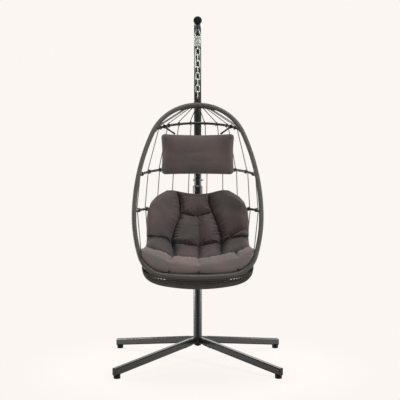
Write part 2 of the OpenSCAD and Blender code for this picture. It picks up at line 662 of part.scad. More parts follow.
// The strand hangs back from the hoop by "back" along the base ring
module seat_strand(back) {
    x = back < base_ring_leg ? ring_a(base) : sqrt(pow(ring_a(base), 2) - pow(back - base_ring_leg, 2));
    top = from_ring(base, [x, back, -strand_off]);
    drop = strand_sag * sqrt(1 - pow((back - bowl_middle) / bowl_reach, 2));
    corner_r = strand_corner * drop;
    corner_x = top[0] - corner_r;
    bottom_r = strand_bottom_r * strand_sag / drop;
    lift = bottom_r - sqrt(pow(bottom_r - corner_r, 2) - pow(corner_x, 2));
    tangent = asin(corner_x / (bottom_r - corner_r));
    wire_r = strand_d / 2;
    translate([0, top[1], top[2] - drop]) rotate([90, 0, 0]) {
        welded_arc([0, bottom_r], bottom_r, -90 - tangent, -90 + tangent, wire_r);
        both_sides() {
            arc_weld([corner_x, lift], corner_r, -90 + tangent, wire_r);
            welded_arc([corner_x, lift], corner_r, -90 + tangent, 0, wire_r);
            arc_weld([corner_x, lift], corner_r, 0, wire_r);
            translate([top[0], lift + weld, 0]) rotate([-90, 0, 0]) cylinder(r = wire_r, h = drop - lift - weld);
        }
    }
}
module seat_strands() color(cord_grey) placed()
    for (j = [0 : strand_count - 1]) seat_strand(strand_first + j * strand_step);

// Cushions: two grids of points, front and back, closed round their edge
module padded_solid(front, back) {
    n = len(front) - 1;
    m = len(front[0]) - 1;
    row = m + 1;
    all = (n + 1) * row;
    sheet = [for (i = [0 : n - 1], j = [0 : m - 1])
        let (a = i * row + j) each [[a, a + 1, a + row], [a + 1, a + row + 1, a + row]]];
    rim = [
        for (j = [0 : m - 1]) each [[j, all + j, j + 1], [j + 1, all + j, all + j + 1]],
        for (j = [0 : m - 1]) let (a = n * row + j)
            each [[a, a + 1, all + a], [a + 1, all + a + 1, all + a]],
        for (i = [0 : n - 1]) let (a = i * row)
            each [[a, a + row, all + a], [a + row, all + a + row, all + a]],
        for (i = [0 : n - 1]) let (a = i * row + m)
            each [[a, all + a, a + row], [a + row, all + a, all + a + row]]];
    polyhedron(concat([for (r = front) each r], [for (r = back) each r]),
        concat(sheet, [for (f = sheet) [f[0] + all, f[2] + all, f[1] + all]], rim));
}
function bell(x, width) = exp(-pow(x / width, 2));
function smooth(x) = let (t = min(1, max(0, x))) t * t * (3 - 2 * t);
// Rounding of an edge: 0 on it, 1 from a distance "over" inward
function end_round(d, over) = d >= over ? 1 : sqrt(max(0, 1 - pow(1 - d / over, 2)));

// Seat cushion: its middle line runs down the back, round the bend and along the seat
back_lean = 14;
seat_fall = 2;
seat_angle = 90 - seat_fall;
bend_sweep = seat_angle - back_lean;
bend_l = bend_r * bend_sweep * PI / 180;
cushion_l = back_l + bend_l + seat_l;
edge_t = 4;
// The cushion's front edge lies a little behind the hoop's foot and above it
front_inset = 7;
front_rise = 55.5;
back_top = [-hang_reach - hoop_l * sin(hoop_lean) + front_inset, hoop_top_z - hoop_l * cos(hoop_lean) + front_rise]
    + back_l * [sin(back_lean), cos(back_lean)]
    + bend_r * [cos(back_lean) - cos(seat_angle), sin(seat_angle) - sin(back_lean)]
    + seat_l * [sin(seat_angle), cos(seat_angle)];
function spine_angle(t) = back_lean + bend_sweep * min(1, max(0, (t - back_l) / bend_l));
function spine(t) =
    let (a = spine_angle(t), down = min(t, back_l), on = max(0, t - back_l - bend_l))
    back_top + down * [-sin(back_lean), -cos(back_lean)]
    - bend_r * [cos(back_lean) - cos(a), sin(a) - sin(back_lean)]
    + on * [-sin(a), -cos(a)];
// Half width: the back's shoulders are round
shoulders = [[0, 0.6], [0.05, 0.68], [0.1, 0.74], [0.2, 0.84], [0.33, 0.93], [0.5, 0.98], [0.7, 1]];
function cushion_half(t) = seat_w / 2 * lookup(t / back_l, shoulders);
// The two lobes of the top edge
lobe_dip = 14;
lobe_w = 80;
function lobed(t, x) = t + lobe_dip * bell(x, lobe_w) * max(0, 1 - t / back_l);
// How far the sides stand forward of the back, or above the seat
side_rise = 79;
function wrap(t, x) =
    let (on_seat = smooth((t - back_l - bend_l / 2) / bend_l), r = ring_a(2))
    (1 - on_seat) * (r - sqrt(pow(r, 2) - pow(x, 2))) + on_seat * side_rise * pow(2 * x / seat_w, 2);
seam_w = 14;
tuft_w = 26;
upper_tuft = 150;
lower_tuft = back_l + 0.4 * bend_l;
roll_seam = cushion_l - 66;
channel_path = [[0, 0.43 * seat_w / 2], [upper_tuft, 0.36 * seat_w / 2], [lower_tuft, 0.52 * seat_w / 2],
    [cushion_l, 0.45 * seat_w / 2]];
function channels(t, x) = let (channel_x = lookup(t, channel_path)) channel_depth * max(
    bell(abs(x) - channel_x, seam_w),
    abs(x) < channel_x ? max(bell(t - upper_tuft, seam_w), bell(t - lower_tuft, seam_w)) : 0,
    bell(t - roll_seam, seam_w),
    t > lower_tuft ? bell(x, seam_w) : 0);
function tufts(t, x) = tuft_depth * max(bell(norm([t - upper_tuft, x]), tuft_w), bell(norm([t - lower_tuft, x]), tuft_w));
top_round = 60;
front_round = 35;
function pad_front(t, u, x) =
    edge_t / 2 + max(0, (pad_t + (roll_t - pad_t) * smooth((t - back_l) / (cushion_l - back_l)))
        * sqrt(1 - pow(abs(u), 3)) * end_round(t, top_round) * end_round(cushion_l - t, front_round)
        - channels(t, x) - tufts(t, x));
// Under the seat: shallow at the front edge, then down to the bowl of strands
front_under = 25;
bowl_round = 130;
under_blend = 80;
function pad_back(t, u) =
    let (on_seat = smooth((t - back_l - bend_l + 20) / under_blend),
        under = end_round(max(0, cushion_l - t - front_under), bowl_round))
    edge_t / 2 + sqrt(1 - pow(u, 4)) * end_round(t, top_round) * end_round(cushion_l - t, front_under / 2)
        * (0.9 * pad_t * (1 - on_seat) + (front_under + (seat_depth - front_under) * under) * on_seat);
function cushion_point(t, u, side) =
    let (half = cushion_half(t), x = u * half, a = spine_angle(t), p = spine(lobed(t, x)),
        n = wrap(t, x) + (side > 0 ? pad_front(t, u, x) : -pad_back(t, u)))
    [x, p[0] - n * cos(a), p[1] + n * sin(a)];
cushion_rows = 23;
cushion_cols = 25;
module seat_cushion() color(cloth) placed() {
    grid = [for (side = [1, -1]) [for (i = [0 : cushion_rows]) [for (j = [0 : cushion_cols])
        cushion_point(cushion_l * i / cushion_rows, 2 * j / cushion_cols - 1, side)]]];
    padded_solid(grid[0], grid[1]);
}

// Head pillow: crowned, with drawn-in sides and small ears, tied to the first ring
tie_on_pillow = 0.62;
tie_angle = 0.5 * (rope_angle(2) + rope_angle(3));
tie_ring_p = from_ring(0, on_bend(0, tie_angle, -rope_off));
tie_drop = 38;
pillow_behind = -24;
pillow_lean = 6;
pillow_cells = 24;
tie_clear = 2.6;
pillow_middle = [0, tie_ring_p[1] + pillow_behind, tie_ring_p[2] - tie_drop - pillow_h / 2];
function pillow_point(p, q, side) =
    let (t = edge_t / 2 + pillow_t / 2 * pow((1 - pow(p, 4)) * (1 - pow(q, 4)), 0.5))
    [pillow_w / 2 * p * (1 - 0.05 * (1 - pow(q, 2)) * pow(p, 2)), side * t,
        pillow_h / 2 * q * (1 - 0.07 * (1 - pow(p, 2)) * pow(q, 2))];
module head_pillow() color(cloth) placed() translate(pillow_middle) rotate([pillow_lean, 0, 0]) {
    grid = [for (side = [-1, 1]) [for (i = [0 : pillow_cells]) [for (j = [0 : pillow_cells])
        pillow_point(2 * i / pillow_cells - 1, 2 * j / pillow_cells - 1, side)]]];
    padded_solid(grid[0], grid[1]);
}
// A tie runs from just above the pillow's edge to its loop round the ring
module pillow_ties() color(cloth) placed() both_sides() {
    edge = pillow_point(tie_on_pillow, 1, 0) + [0, 0, tie_clear];
    corner = pillow_middle + [edge[0], -edge[2] * sin(pillow_lean), edge[2] * cos(pillow_lean)];
    bar(corner, tie_ring_p, rope_d / 2);
    translate(ring_centre(0, tie_angle)) rotate([ring_tilts[0], 0, 0]) rotate([0, 0, -tie_angle]) rotate([0, 90, 0])
        torus(rope_off, rope_d / 2);
}

base_hub();
post_bottom_plug();
front_leg_left();
front_leg_right();
rear_leg_left();
rear_leg_right();
leg_end_plugs();
front_foot_left();
front_foot_right();
rear_foot_left();
rear_foot_right();
leg_bolts();
lower_post();
post_collar();
post_spigot();
lock_bolt();
lock_nut();
upper_arm();
arm_end_cap();
hanging_eye();
upper_drawbar();
coil_spring();
lower_drawbar();
chain_top_links();
chain_middle_links();
chain_bottom_links();
basket_eye();
hoop_tube();
hoop_wicker();
ring_1();
ring_2();
ring_3();
ring_4();
base_ring();
back_ropes();
seat_strands();
seat_cushion();
head_pillow();
pillow_ties();
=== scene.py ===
# %% [markdown]
# # A hanging egg chair
# The steel stand, its joints and the soft pieces were drawn first as plain solids. Here that
# drawing is loaded as a fixed frame, and each visible surface gets the look of the real thing:
# powder coated tube, zinc plated chain, wound cane on the hoop, laid cord, and a stuffed cushion.

# %% The frame and the modules
import json
import math
from mathutils import Matrix, Vector
import bmesh
import bpy
import numpy as np


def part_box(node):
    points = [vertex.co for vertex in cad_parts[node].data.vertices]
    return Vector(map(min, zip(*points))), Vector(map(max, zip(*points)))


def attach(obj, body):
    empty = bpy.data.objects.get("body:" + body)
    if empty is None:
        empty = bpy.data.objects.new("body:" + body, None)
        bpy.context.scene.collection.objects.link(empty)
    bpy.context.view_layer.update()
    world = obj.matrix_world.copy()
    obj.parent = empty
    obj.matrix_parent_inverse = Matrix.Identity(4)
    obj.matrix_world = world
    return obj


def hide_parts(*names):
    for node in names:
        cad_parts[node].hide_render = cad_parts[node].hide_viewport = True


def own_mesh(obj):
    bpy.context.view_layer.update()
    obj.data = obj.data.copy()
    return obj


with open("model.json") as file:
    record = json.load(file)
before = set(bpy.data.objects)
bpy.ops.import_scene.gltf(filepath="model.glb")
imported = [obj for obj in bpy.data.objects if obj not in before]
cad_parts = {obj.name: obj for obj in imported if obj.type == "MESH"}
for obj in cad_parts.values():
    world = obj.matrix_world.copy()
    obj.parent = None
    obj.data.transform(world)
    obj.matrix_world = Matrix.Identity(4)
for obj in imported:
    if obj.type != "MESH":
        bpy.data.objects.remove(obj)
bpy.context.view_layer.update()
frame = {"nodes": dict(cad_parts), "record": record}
MM = 0.001
print("nodes in the frame:", len(frame["nodes"]))

# %% [markdown]
# ## Where things are
# The basket hangs from one vertical axis under the arm's tip. Its hoop is a flat loop of arcs that
# leans, foot forward, and five rings stand out behind it. The loop's radii and the rings' places
# are real sizes in millimetres, and the hanging axis and the hoop's top come from the frame.

# %% Sizes of the basket, in millimetres
HOOP_LEAN = math.radians(17.5)
HOOP_LENGTH, HOOP_HALF_WIDTH = 941, 332
HOOP_WIDEST = 0.645 * HOOP_LENGTH
HOOP_UPPER_R, HOOP_LOWER_R, HOOP_CORNER_R, HOOP_FOOT_R = 1154, 759, 142, 1620
HOOP_D, RING_D, ROPE_D, STRAND_D = 25, 14, 5, 8
# Each ring: its distance down the hoop, the length of its straight legs, its tilt in degrees
RINGS = [(0.17 * HOOP_LENGTH, 2, 14.8), (0.438 * HOOP_LENGTH, 60, 8), (0.639 * HOOP_LENGTH, 90, 1.5),
         (0.857 * HOOP_LENGTH, 90, -4.5), (0.935 * HOOP_LENGTH, 40, -12)]
BASE = len(RINGS) - 1
FIT_GAP = 0.3

eye_low, eye_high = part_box("hanging_eye")
HANG_Y = (eye_low.y + eye_high.y) / 2 / MM
HOOP_TOP_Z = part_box("hoop_wicker")[1].z / MM - HOOP_D / 2
print(f"hanging axis at y {HANG_Y:.1f} mm, hoop's top at z {HOOP_TOP_Z:.1f} mm")


# %% The hoop's outline, as arcs that run on from each other
def outline_arcs():
    """(centre x, centre y, radius, first angle, last angle) from the top down the right side."""
    upper_x = HOOP_HALF_WIDTH - HOOP_UPPER_R
    top_r = (HOOP_UPPER_R**2 - upper_x**2 - HOOP_WIDEST**2) / (2 * (HOOP_UPPER_R - HOOP_WIDEST))
    top_angle = math.atan2(HOOP_WIDEST - top_r, -upper_x)
    lower_x = HOOP_HALF_WIDTH - HOOP_LOWER_R
    foot_y = HOOP_FOOT_R - HOOP_LENGTH
    to_corner, foot_to_corner = HOOP_LOWER_R - HOOP_CORNER_R, HOOP_FOOT_R - HOOP_CORNER_R
    apart = math.hypot(lower_x, foot_y + HOOP_WIDEST)
    along = (to_corner**2 - foot_to_corner**2 + apart**2) / (2 * apart)
    aside = math.sqrt(to_corner**2 - along**2)
    way = (-lower_x / apart, (foot_y + HOOP_WIDEST) / apart)
    corner = (lower_x + along * way[0] + aside * way[1], -HOOP_WIDEST + along * way[1] - aside * way[0])
    lower_angle = math.atan2(corner[1] + HOOP_WIDEST, corner[0] - lower_x)
    foot_angle = math.atan2(corner[1] - foot_y, corner[0])
    return [(0, -top_r, top_r, math.pi / 2, top_angle),
            (upper_x, -HOOP_WIDEST, HOOP_UPPER_R, top_angle, 0),
            (lower_x, -HOOP_WIDEST, HOOP_LOWER_R, 0, lower_angle),
            (*corner, HOOP_CORNER_R, lower_angle, foot_angle),
            (0, foot_y, HOOP_FOOT_R, foot_angle, -math.pi / 2)]


ARCS = outline_arcs()
TOP_R = ARCS[0][2]


def on_hoop(across, down, out):
    """A point of the hoop's plane, out towards the sitter, in the frame's metres."""
    return Vector((across, HANG_Y - down * math.sin(HOOP_LEAN) - out * math.cos(HOOP_LEAN),
                   HOOP_TOP_Z - down * math.cos(HOOP_LEAN) + out * math.sin(HOOP_LEAN))) * MM


def hoop_half_width(down):
    """Half width of the hoop at a distance down it."""
    for x, y, r, first, last in ARCS:
        if down <= -y - r * math.sin(last) + 1e-6:
            return x + r * math.cos(math.asin((-down - y) / r))
    return ARCS[-2][0] + HOOP_CORNER_R


def hoop_path(step):
    """The whole loop's centre line: (across, down) points about one step apart."""
    right = []
    for x, y, r, first, last in ARCS:
        count = math.ceil(r * abs(last - first) / step)
        for i in range(count):
            angle = first + (last - first) * i / count
            right.append((x + r * math.cos(angle), -(y + r * math.sin(angle))))
    right.append((0, HOOP_LENGTH))
    return right + [(-across, down) for across, down in reversed(right[1:-1])]


print("hoop's centre line has", len(hoop_path(10)), "points at 10 mm")


# %% The rings' places
def ring_frame(i):
    """Half width of ring i, its straight leg, and the turn of its plane."""
    down, leg, tilt = RINGS[i]
    return hoop_half_width(down), leg, Matrix.Rotation(math.radians(tilt), 3, "X")


def on_ring(i, point):
    """A point of ring i's own plane, in the frame's metres."""
    return on_hoop(0, RINGS[i][0], 0) + ring_frame(i)[2] @ Vector(point) * MM


def at_rope(i, angle):
    """Point of ring i at an angle round its bend, and the direction along the ring there."""
    half, leg, turn = ring_frame(i)
    outward = Vector((math.sin(angle), math.cos(angle), 0))
    return on_ring(i, Vector((0, leg, 0)) + outward * half), turn @ Vector((outward.y, -outward.x, 0))


def at_leg(i, side, back):
    """The same on the straight leg of ring i, on the right for side 1 and the left for side -1."""
    half, leg, turn = ring_frame(i)
    return on_ring(i, (side * half, back, 0)), turn @ Vector((0, -side, 0))


print("half widths of the rings:", [round(ring_frame(i)[0]) for i in range(len(RINGS))])

# %% [markdown]
# ## Mesh helpers
# Cord, cane and spring wire are all round bars along a line, so one helper makes them from a
# curve with a round bevel. The mesh keeps the curve's own mapping, stretched to metres, so that
# a lay or a winding can be coloured along it.


# %% A line with even steps
def spaced(points, step):
    """The same line with points about one step apart, in metres."""
    points = [Vector(p) for p in points]
    gone = [0.0]
    for a, b in zip(points, points[1:]):
        gone.append(gone[-1] + (b - a).length)
    count = max(2, round(gone[-1] / step))
    made, j = [], 0
    for i in range(count + 1):
        want = gone[-1] * i / count
        while j < len(points) - 2 and gone[j + 1] < want:
            j += 1
        part = (want - gone[j]) / max(1e-9, gone[j + 1] - gone[j])
        made.append(points[j].lerp(points[j + 1], min(1, part)))
    return made


def in_scene(name, data):
    """An object of the scene for a mesh, a curve, a lamp or a camera."""
    made = bpy.data.objects.new(name, data)
    bpy.context.scene.collection.objects.link(made)
    return made


def new_object(name, whole, material):
    """An object in the scene from a form: its faces outward, smooth, and in one material."""
    bmesh.ops.recalc_face_normals(whole, faces=whole.faces)
    mesh = bpy.data.meshes.new(name)
    whole.to_mesh(mesh)
    whole.free()
    mesh.shade_smooth()
    mesh.materials.append(material)
    return in_scene(name, mesh)


print("12 mm in steps of 3 mm:", len(spaced([(0, 0, 0), (0, 0, 12)], 3)) - 1)


# %% A bar along a line
def bar(name, lines, material, radius, sides, relief=None, closed=False):
    """One object of round bars. relief(along, turn) gives the share of the radius, along in metres."""
    whole = bmesh.new()
    for line in lines:
        curve = bpy.data.curves.new(name, "CURVE")
        curve.dimensions = "3D"
        curve.bevel_depth = radius
        # A bevel of resolution n has 4 + 2n sides
        curve.bevel_resolution = (sides - 4) // 2
        spline = curve.splines.new("POLY")
        spline.points.add(len(line) - 1)
        spline.points.foreach_set("co", np.array([(*p, 1) for p in line], np.float32).ravel())
        spline.use_cyclic_u = closed
        carrier = in_scene(name, curve)
        shown = carrier.evaluated_get(bpy.context.evaluated_depsgraph_get())
        mesh = bpy.data.meshes.new_from_object(shown)
        bpy.data.objects.remove(carrier)
        bpy.data.curves.remove(curve)
        shape_bar(mesh, len(line), relief)
        whole.from_mesh(mesh)
        bpy.data.meshes.remove(mesh)
    bmesh.ops.holes_fill(whole, edges=[e for e in whole.edges if e.is_boundary], sides=sides)
    return new_object(name, whole, material)


def shape_bar(mesh, rings, relief):
    """Gives the bar its relief, and stretches its mapping to metres along it."""
    co = np.empty(len(mesh.vertices) * 3, np.float32)
    mesh.vertices.foreach_get("co", co)
    co = co.reshape(rings, -1, 3)
    centre = co.mean(axis=1, keepdims=True)
    steps = np.linalg.norm(np.diff(centre[:, 0], axis=0), axis=1)
    along = np.concatenate([[0], np.cumsum(steps)])
    if relief:
        turn = np.arange(co.shape[1]) / co.shape[1] * 2 * np.pi
        share = relief(along[:, None], turn[None, :])
        co = centre + (co - centre) * share[:, :, None]
        mesh.vertices.foreach_set("co", co.astype(np.float32).ravel())
    layer = mesh.uv_layers[0]
    uv = np.empty(len(layer.data) * 2, np.float32)
    layer.data.foreach_get("uv", uv)
    uv = uv.reshape(-1, 2)
    # The mapping's long way is the one with more values, and it goes first
    values = [len(np.unique(np.round(uv[:, way], 5))) for way in (0, 1)]
    long_way = 0 if values[0] > values[1] else 1
    uv[:, long_way] *= along[-1]
    if long_way == 1:
        uv[:] = uv[:, ::-1]
    layer.data.foreach_set("uv", uv.ravel())


# %% [markdown]
# ## Finishes
# Every finish starts from the real material: its own colour, how smooth its making leaves it, and
# a pattern of a real size. Patterns read object coordinates, or the mapping of the piece where
# they follow it, so they stay put in every view.


# %% Colours and nodes
def linear(colour):
    """An sRGB hex colour as the linear values that a shader takes."""
    shares = [int(colour[i:i + 2], 16) / 255 for i in (1, 3, 5)]
    return (*[s / 12.92 if s <= 0.04045 else ((s + 0.055) / 1.055) ** 2.4 for s in shares], 1)


def give(tree, node, inputs):
    """Gives each input a value, an output, or a node that stands for its first output."""
    for name, given in inputs.items():
        if isinstance(given, bpy.types.Node):
            given = given.outputs[0]
        if isinstance(given, bpy.types.NodeSocket):
            tree.links.new(given, node.inputs[name])
        else:
            node.inputs[name].default_value = given


def add(tree, kind, inputs=None, **settings):
    """Adds one node with its settings and its inputs."""
    made = tree.nodes.new(kind)
    for name, value in settings.items():
        setattr(made, name, value)
    give(tree, made, inputs or {})
    return made


def maths(tree, operation, *terms):
    """One operation on its terms."""
    return add(tree, "ShaderNodeMath", dict(enumerate(terms)), operation=operation)


def grain(tree, place, size_mm, detail=2.0, rough=0.5):
    """A noise whose lumps are about size_mm across."""
    return add(tree, "ShaderNodeTexNoise", {"Vector": place["Object"], "Scale": 1 / (size_mm * MM),
                                            "Detail": detail, "Roughness": rough})


def tones(tree, share, *stops):
    """Colours along a share from 0 to 1, by stops (position, colour) from the lowest up."""
    ramp = add(tree, "ShaderNodeValToRGB", {0: share})
    spots = ramp.color_ramp.elements
    for i, (position, colour) in enumerate(stops):
        spot = spots[i] if i < 2 else spots.new(position)
        spot.position = position
        spot.color = linear(colour) if isinstance(colour, str) else colour
    return ramp


def bumps(tree, height, strength, depth_mm):
    """Fine relief from a height between 0 and 1."""
    return add(tree, "ShaderNodeBump", {"Height": height, "Strength": strength, "Distance": depth_mm * MM})


def new_material(name):
    """An empty material, its tree, and the coordinates that its patterns read."""
    made = bpy.data.materials.new(name)
    made.use_nodes = True
    tree = made.node_tree
    tree.nodes.clear()
    return made, tree, add(tree, "ShaderNodeTexCoord").outputs


def surface(tree, colour, roughness, inputs):
    """The material's shader and output: its plain colour and roughness, then what varies them."""
    shader = add(tree, "ShaderNodeBsdfPrincipled", {"Base Color": linear(colour), "Roughness": roughness})
    give(tree, shader, inputs)
    add(tree, "ShaderNodeOutputMaterial", {"Surface": shader})


# %% [markdown]
# ### Coated and plated steel, and plastic
# Polyester powder is sprayed on the steel and baked. It flows out to a satin skin with a slight
# orange peel, a few tenths of a millimetre in reality and drawn coarser here so that it shows.
# Bright zinc plate is a thin grey metal skin with faint clouds, duller than bare metal because
# its chromate film scatters light. The black caps and feet are moulded, with a fine mould grain.

# %% Powder coat
PEEL, PEEL_SPECK = 1.6, 2.2


def powder_coat(name, dark, light, roughness):
    """A satin skin, slightly mottled, with orange peel."""
    made, tree, place = new_material(name)
    speck = grain(tree, place, PEEL_SPECK, 3.0, 0.6)
    surface(tree, dark, roughness, {
        "Specular IOR Level": 0.5,
        "Base Color": tones(tree, speck, (0.3, dark), (0.75, light)),
        "Normal": bumps(tree, grain(tree, place, PEEL), 0.12, 0.2)})
    return made


STAND_COAT = powder_coat("charcoal powder coat", "#191B1A", "#222423", 0.2)
RING_COAT = powder_coat("black powder coat", "#121110", "#191817", 0.4)
print("powder coats:", STAND_COAT.name, "and", RING_COAT.name)

# %% Moulded plastic and tape
GRAIN, MOTTLE = 0.9, 4.0


def fine_grained(name, dark, light):
    """A half matt skin with a fine grain, as moulded plastic and close cotton tape have."""
    made, tree, place = new_material(name)
    mottle = grain(tree, place, MOTTLE)
    surface(tree, dark, 0.45, {
        "Specular IOR Level": 0.2,
        "Base Color": tones(tree, mottle, (0.35, dark), (0.65, light)),
        "Normal": bumps(tree, grain(tree, place, GRAIN, 4.0, 0.7), 0.5, 0.2)})
    return made


BLACK_PP = fine_grained("moulded polypropylene", "#0E0E0E", "#151515")
TIE_TAPE = fine_grained("cotton tape", "#1B1918", "#262322")
print("grain of", GRAIN, "mm on", BLACK_PP.name, "and", TIE_TAPE.name)

# %% Zinc plate, and the finishes of the frame's own nodes
ZINC_CLOUD, ZINC_GRAIN = 7.0, 0.8


def zinc_plate(name, dark, light):
    """A dull metal skin whose clouds are both a little darker and a little smoother."""
    made, tree, place = new_material(name)
    cloud = grain(tree, place, ZINC_CLOUD, 4.0, 0.6)
    surface(tree, light, 0.3, {
        "Metallic": 0.55,
        "Roughness": add(tree, "ShaderNodeMapRange", {"Value": cloud, "To Min": 0.22, "To Max": 0.42}),
        "Base Color": tones(tree, cloud, (0.3, dark), (0.6, light)),
        "Normal": bumps(tree, grain(tree, place, ZINC_GRAIN), 0.2, 0.1)})
    return made


ZINC = zinc_plate("zinc plated steel", "#ADB0A8", "#D0D4CB")
FINISH_OF = {"powder_coat": STAND_COAT, "basket_steel": RING_COAT, "black_plastic": BLACK_PP,
             "zinc": ZINC}
finished = {part["node"]: FINISH_OF[part["material_slot"]] for part in frame["record"]["subparts"]
            if part["material_slot"] in FINISH_OF}
finished["pillow_ties"] = TIE_TAPE
for node, material in finished.items():
    mesh = frame["nodes"][node].data
    mesh.materials.clear()
    mesh.materials.append(material)
print("frame nodes finished:", len(finished))

# %% [markdown]
# ## The wound hoop
# The steel hoop is wound all round with a flat strip of extruded polyethylene cane: a dull skin
# with fine ridges. Its colour has painted light in the middle of each turn and painted shade in a
# dark line where one turn meets the next. One strip, laid as a long helix, gives shallow rounded
# bands. The bar helper makes the loop, and its relief is the helix: a whole number of turns
# always closes on itself.

# %% Turns of cane
CANE_W, CANE_RIDGES, CANE_GROOVE = 8.0, 5, 0.10
cane_points = [on_hoop(across, down, 0) for across, down in hoop_path(1.6)]
cane_length = sum((b - a).length for a, b in zip(cane_points, cane_points[1:] + cane_points[:1]))
cane_turns = round(cane_length / (CANE_W * MM))
CANE_PITCH = cane_length / cane_turns


def cane_relief(along, turn):
    """Flat bands with rounded edges, one pitch wide."""
    band = np.mod(along / CANE_PITCH + turn / (2 * np.pi), 1)
    return 1 - CANE_GROOVE * np.abs(2 * band - 1) ** 5


print(f"hoop: {cane_length:.2f} m long, {cane_turns} turns of cane")


# %% The cane's finish, and the wound hoop
def cane_finish(name, plain, groove, edge, middle):
    """Painted shade at each turn's edges, painted light in its middle, and ridges along the strip."""
    made, tree, place = new_material(name)
    split = add(tree, "ShaderNodeSeparateXYZ", {0: place["UV"]}).outputs
    band = maths(tree, "FRACT", maths(tree, "MULTIPLY_ADD", split[0], 1 / CANE_PITCH, split[1]))
    ridges = maths(tree, "SINE", maths(tree, "MULTIPLY", band, 2 * math.pi * CANE_RIDGES))
    # The stops paint shade where the turns meet and light in each turn's middle
    stops = [(0.0, groove), (0.16, edge), (0.5, middle), (0.84, edge), (1.0, groove)]
    surface(tree, plain, 0.6, {
        "Base Color": tones(tree, band, *stops),
        "Normal": bumps(tree, ridges, 0.35, 0.25)})
    return made


CANE = cane_finish("polyethylene cane", "#4A4742", "#1F1D1B", "#433F3B", "#524D49")
hoop_cane = bar("hoop_cane", [cane_points], CANE, HOOP_D / 2 * MM, 20, cane_relief, True)
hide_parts("hoop_wicker")
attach(hoop_cane, "basket")
print("wound hoop:", len(hoop_cane.data.vertices), "points")

# %% [markdown]
# ## Back cords
# Twelve taut cords run from the top of the hoop down the rings, laid up from three strands. The
# ten over the back take one full turn round each ring that they pass, which keeps them in place.
# The two at the sides only bend over the rings, and hang from a stopper knot. All of them end
# round the base ring. The route is the drawn one: behind each ring by half of both diameters.

# %% The lay of a cord, and turns round a bar
LAY, LAY_STRANDS, LAY_GROOVE, FIBRE = 22, 3, 0.16, 0.8
HELIX_STEP = math.radians(24)


def laid(lay_mm, strands, groove):
    """The relief of strands that wind round a cord once in each lay."""
    def relief(along, turn):
        angle = strands / 2 * (turn - 2 * np.pi * along / (lay_mm * MM))
        return 1 - groove + groove * np.abs(np.cos(angle)) ** 0.8
    return relief


def turns_round(place, outward, up, along, off, start, end, advance):
    """Points of a helix round a bar: from angle start to end, measured down from its outward side."""
    count = max(6, math.ceil(abs(end - start) / HELIX_STEP))
    made = []
    for i in range(count + 1):
        part = i / count
        angle = start + (end - start) * part
        made.append(place + (outward * math.cos(angle) - up * math.sin(angle)) * off * MM
                    + along * advance * (part - 0.5) * MM)
    return made


cord_relief = laid(LAY, LAY_STRANDS, LAY_GROOVE)
print("lay of the cords:", LAY, "mm")

# %% The cords' routes
CORD_PAIRS = 5
ROPE_FIRST, ROPE_STEP = math.radians(9), math.radians(16.25)
TIE_FIRST, TIE_STEP, TIE_SLANT = 10, 18, math.radians(45)
SIDE_TIE_DROP, SIDE_ROPE_BACK = 0.273 * HOOP_LENGTH, 25
RING_OFF = (RING_D + ROPE_D) / 2 + 2 * FIT_GAP
TIE_OFF = (HOOP_D + ROPE_D) / 2 + FIT_GAP
WRAP = 1.15 * ROPE_D


def past_rings(tie, places, rounds=1):
    """A cord's route from its tie: it arrives square to each ring, takes its turns and goes on."""
    ways = [tie] + [place for place, along in places]
    route = [tie]
    for i, (place, along) in enumerate(places):
        before, after = ways[i], ways[min(i + 2, len(places))]
        outward = along.cross(after - before).normalized()
        last = i == len(places) - 1
        half_bend = 0 if last else (place - before).angle(after - place) / 2
        route += turns_round(place, outward, along.cross(outward), along, RING_OFF, -half_bend,
                             (3 if last else 2 * rounds) * math.pi + half_bend, WRAP * rounds)
    return route


def through_cord(k, side):
    """The cord of pair k on one side, from behind the hoop's top over all five rings."""
    across = TIE_FIRST + k * TIE_STEP
    normal = math.acos(across / TOP_R)
    down = TOP_R * (1 - math.sin(normal))
    inward = TIE_OFF * math.cos(TIE_SLANT)
    tie = on_hoop(side * (across - inward * math.cos(normal)), down + inward * math.sin(normal), -inward)
    angle = side * (ROPE_FIRST + k * ROPE_STEP)
    return past_rings(tie, [at_rope(i, angle) for i in range(len(RINGS))])


def side_cord(side):
    """The short cord at one side, from the hoop over the legs of the rings under its tie."""
    tie = on_hoop(side * hoop_half_width(SIDE_TIE_DROP), SIDE_TIE_DROP, -TIE_OFF)
    return past_rings(tie, [at_leg(i, side, SIDE_ROPE_BACK) for i in range(1, len(RINGS))], 0)


routes = []
for side in (-1, 1):
    routes += [through_cord(k, side) for k in range(CORD_PAIRS)] + [side_cord(side)]
cords = [spaced(route, 2.5 * MM) for route in routes]
print("back cords, mm:", [round(sum((b - a).length for a, b in zip(c, c[1:])) / MM) for c in cords])

# %% [markdown]
# The ends of the cords are held behind the hoop's top by a lashing, one cord in close turns from
# the first tie to the last. The knots of the side cords are two turns of the cord round itself.

# %% The lashing and the knots
LASH_PITCH, LASH_R, LASH_DOWN, LASH_BEHIND, LASH_POINTS = 7, 5, 10, 9, 12
KNOT_BELOW = 7


def lashing():
    """A cord in close turns behind the hoop's top."""
    reach = TIE_FIRST + (CORD_PAIRS - 0.5) * TIE_STEP
    count = round(2 * reach / LASH_PITCH) * LASH_POINTS
    made = []
    for i in range(count + 1):
        across, turn = reach * (2 * i / count - 1), 2 * math.pi * i / LASH_POINTS
        down = TOP_R - math.sqrt(TOP_R**2 - across**2)
        made.append(on_hoop(across, down + LASH_DOWN + LASH_R * math.cos(turn),
                            LASH_R * math.sin(turn) - LASH_BEHIND))
    return made


def knot_on(route):
    """A stopper knot just below its tie."""
    way = (route[1] - route[0]).normalized()
    across = way.cross(Vector((0, 0, 1))).normalized()
    return turns_round(route[0] + way * KNOT_BELOW * MM, across, way.cross(across), way,
                       0.8 * ROPE_D, 0, 4 * math.pi, 2 * ROPE_D)


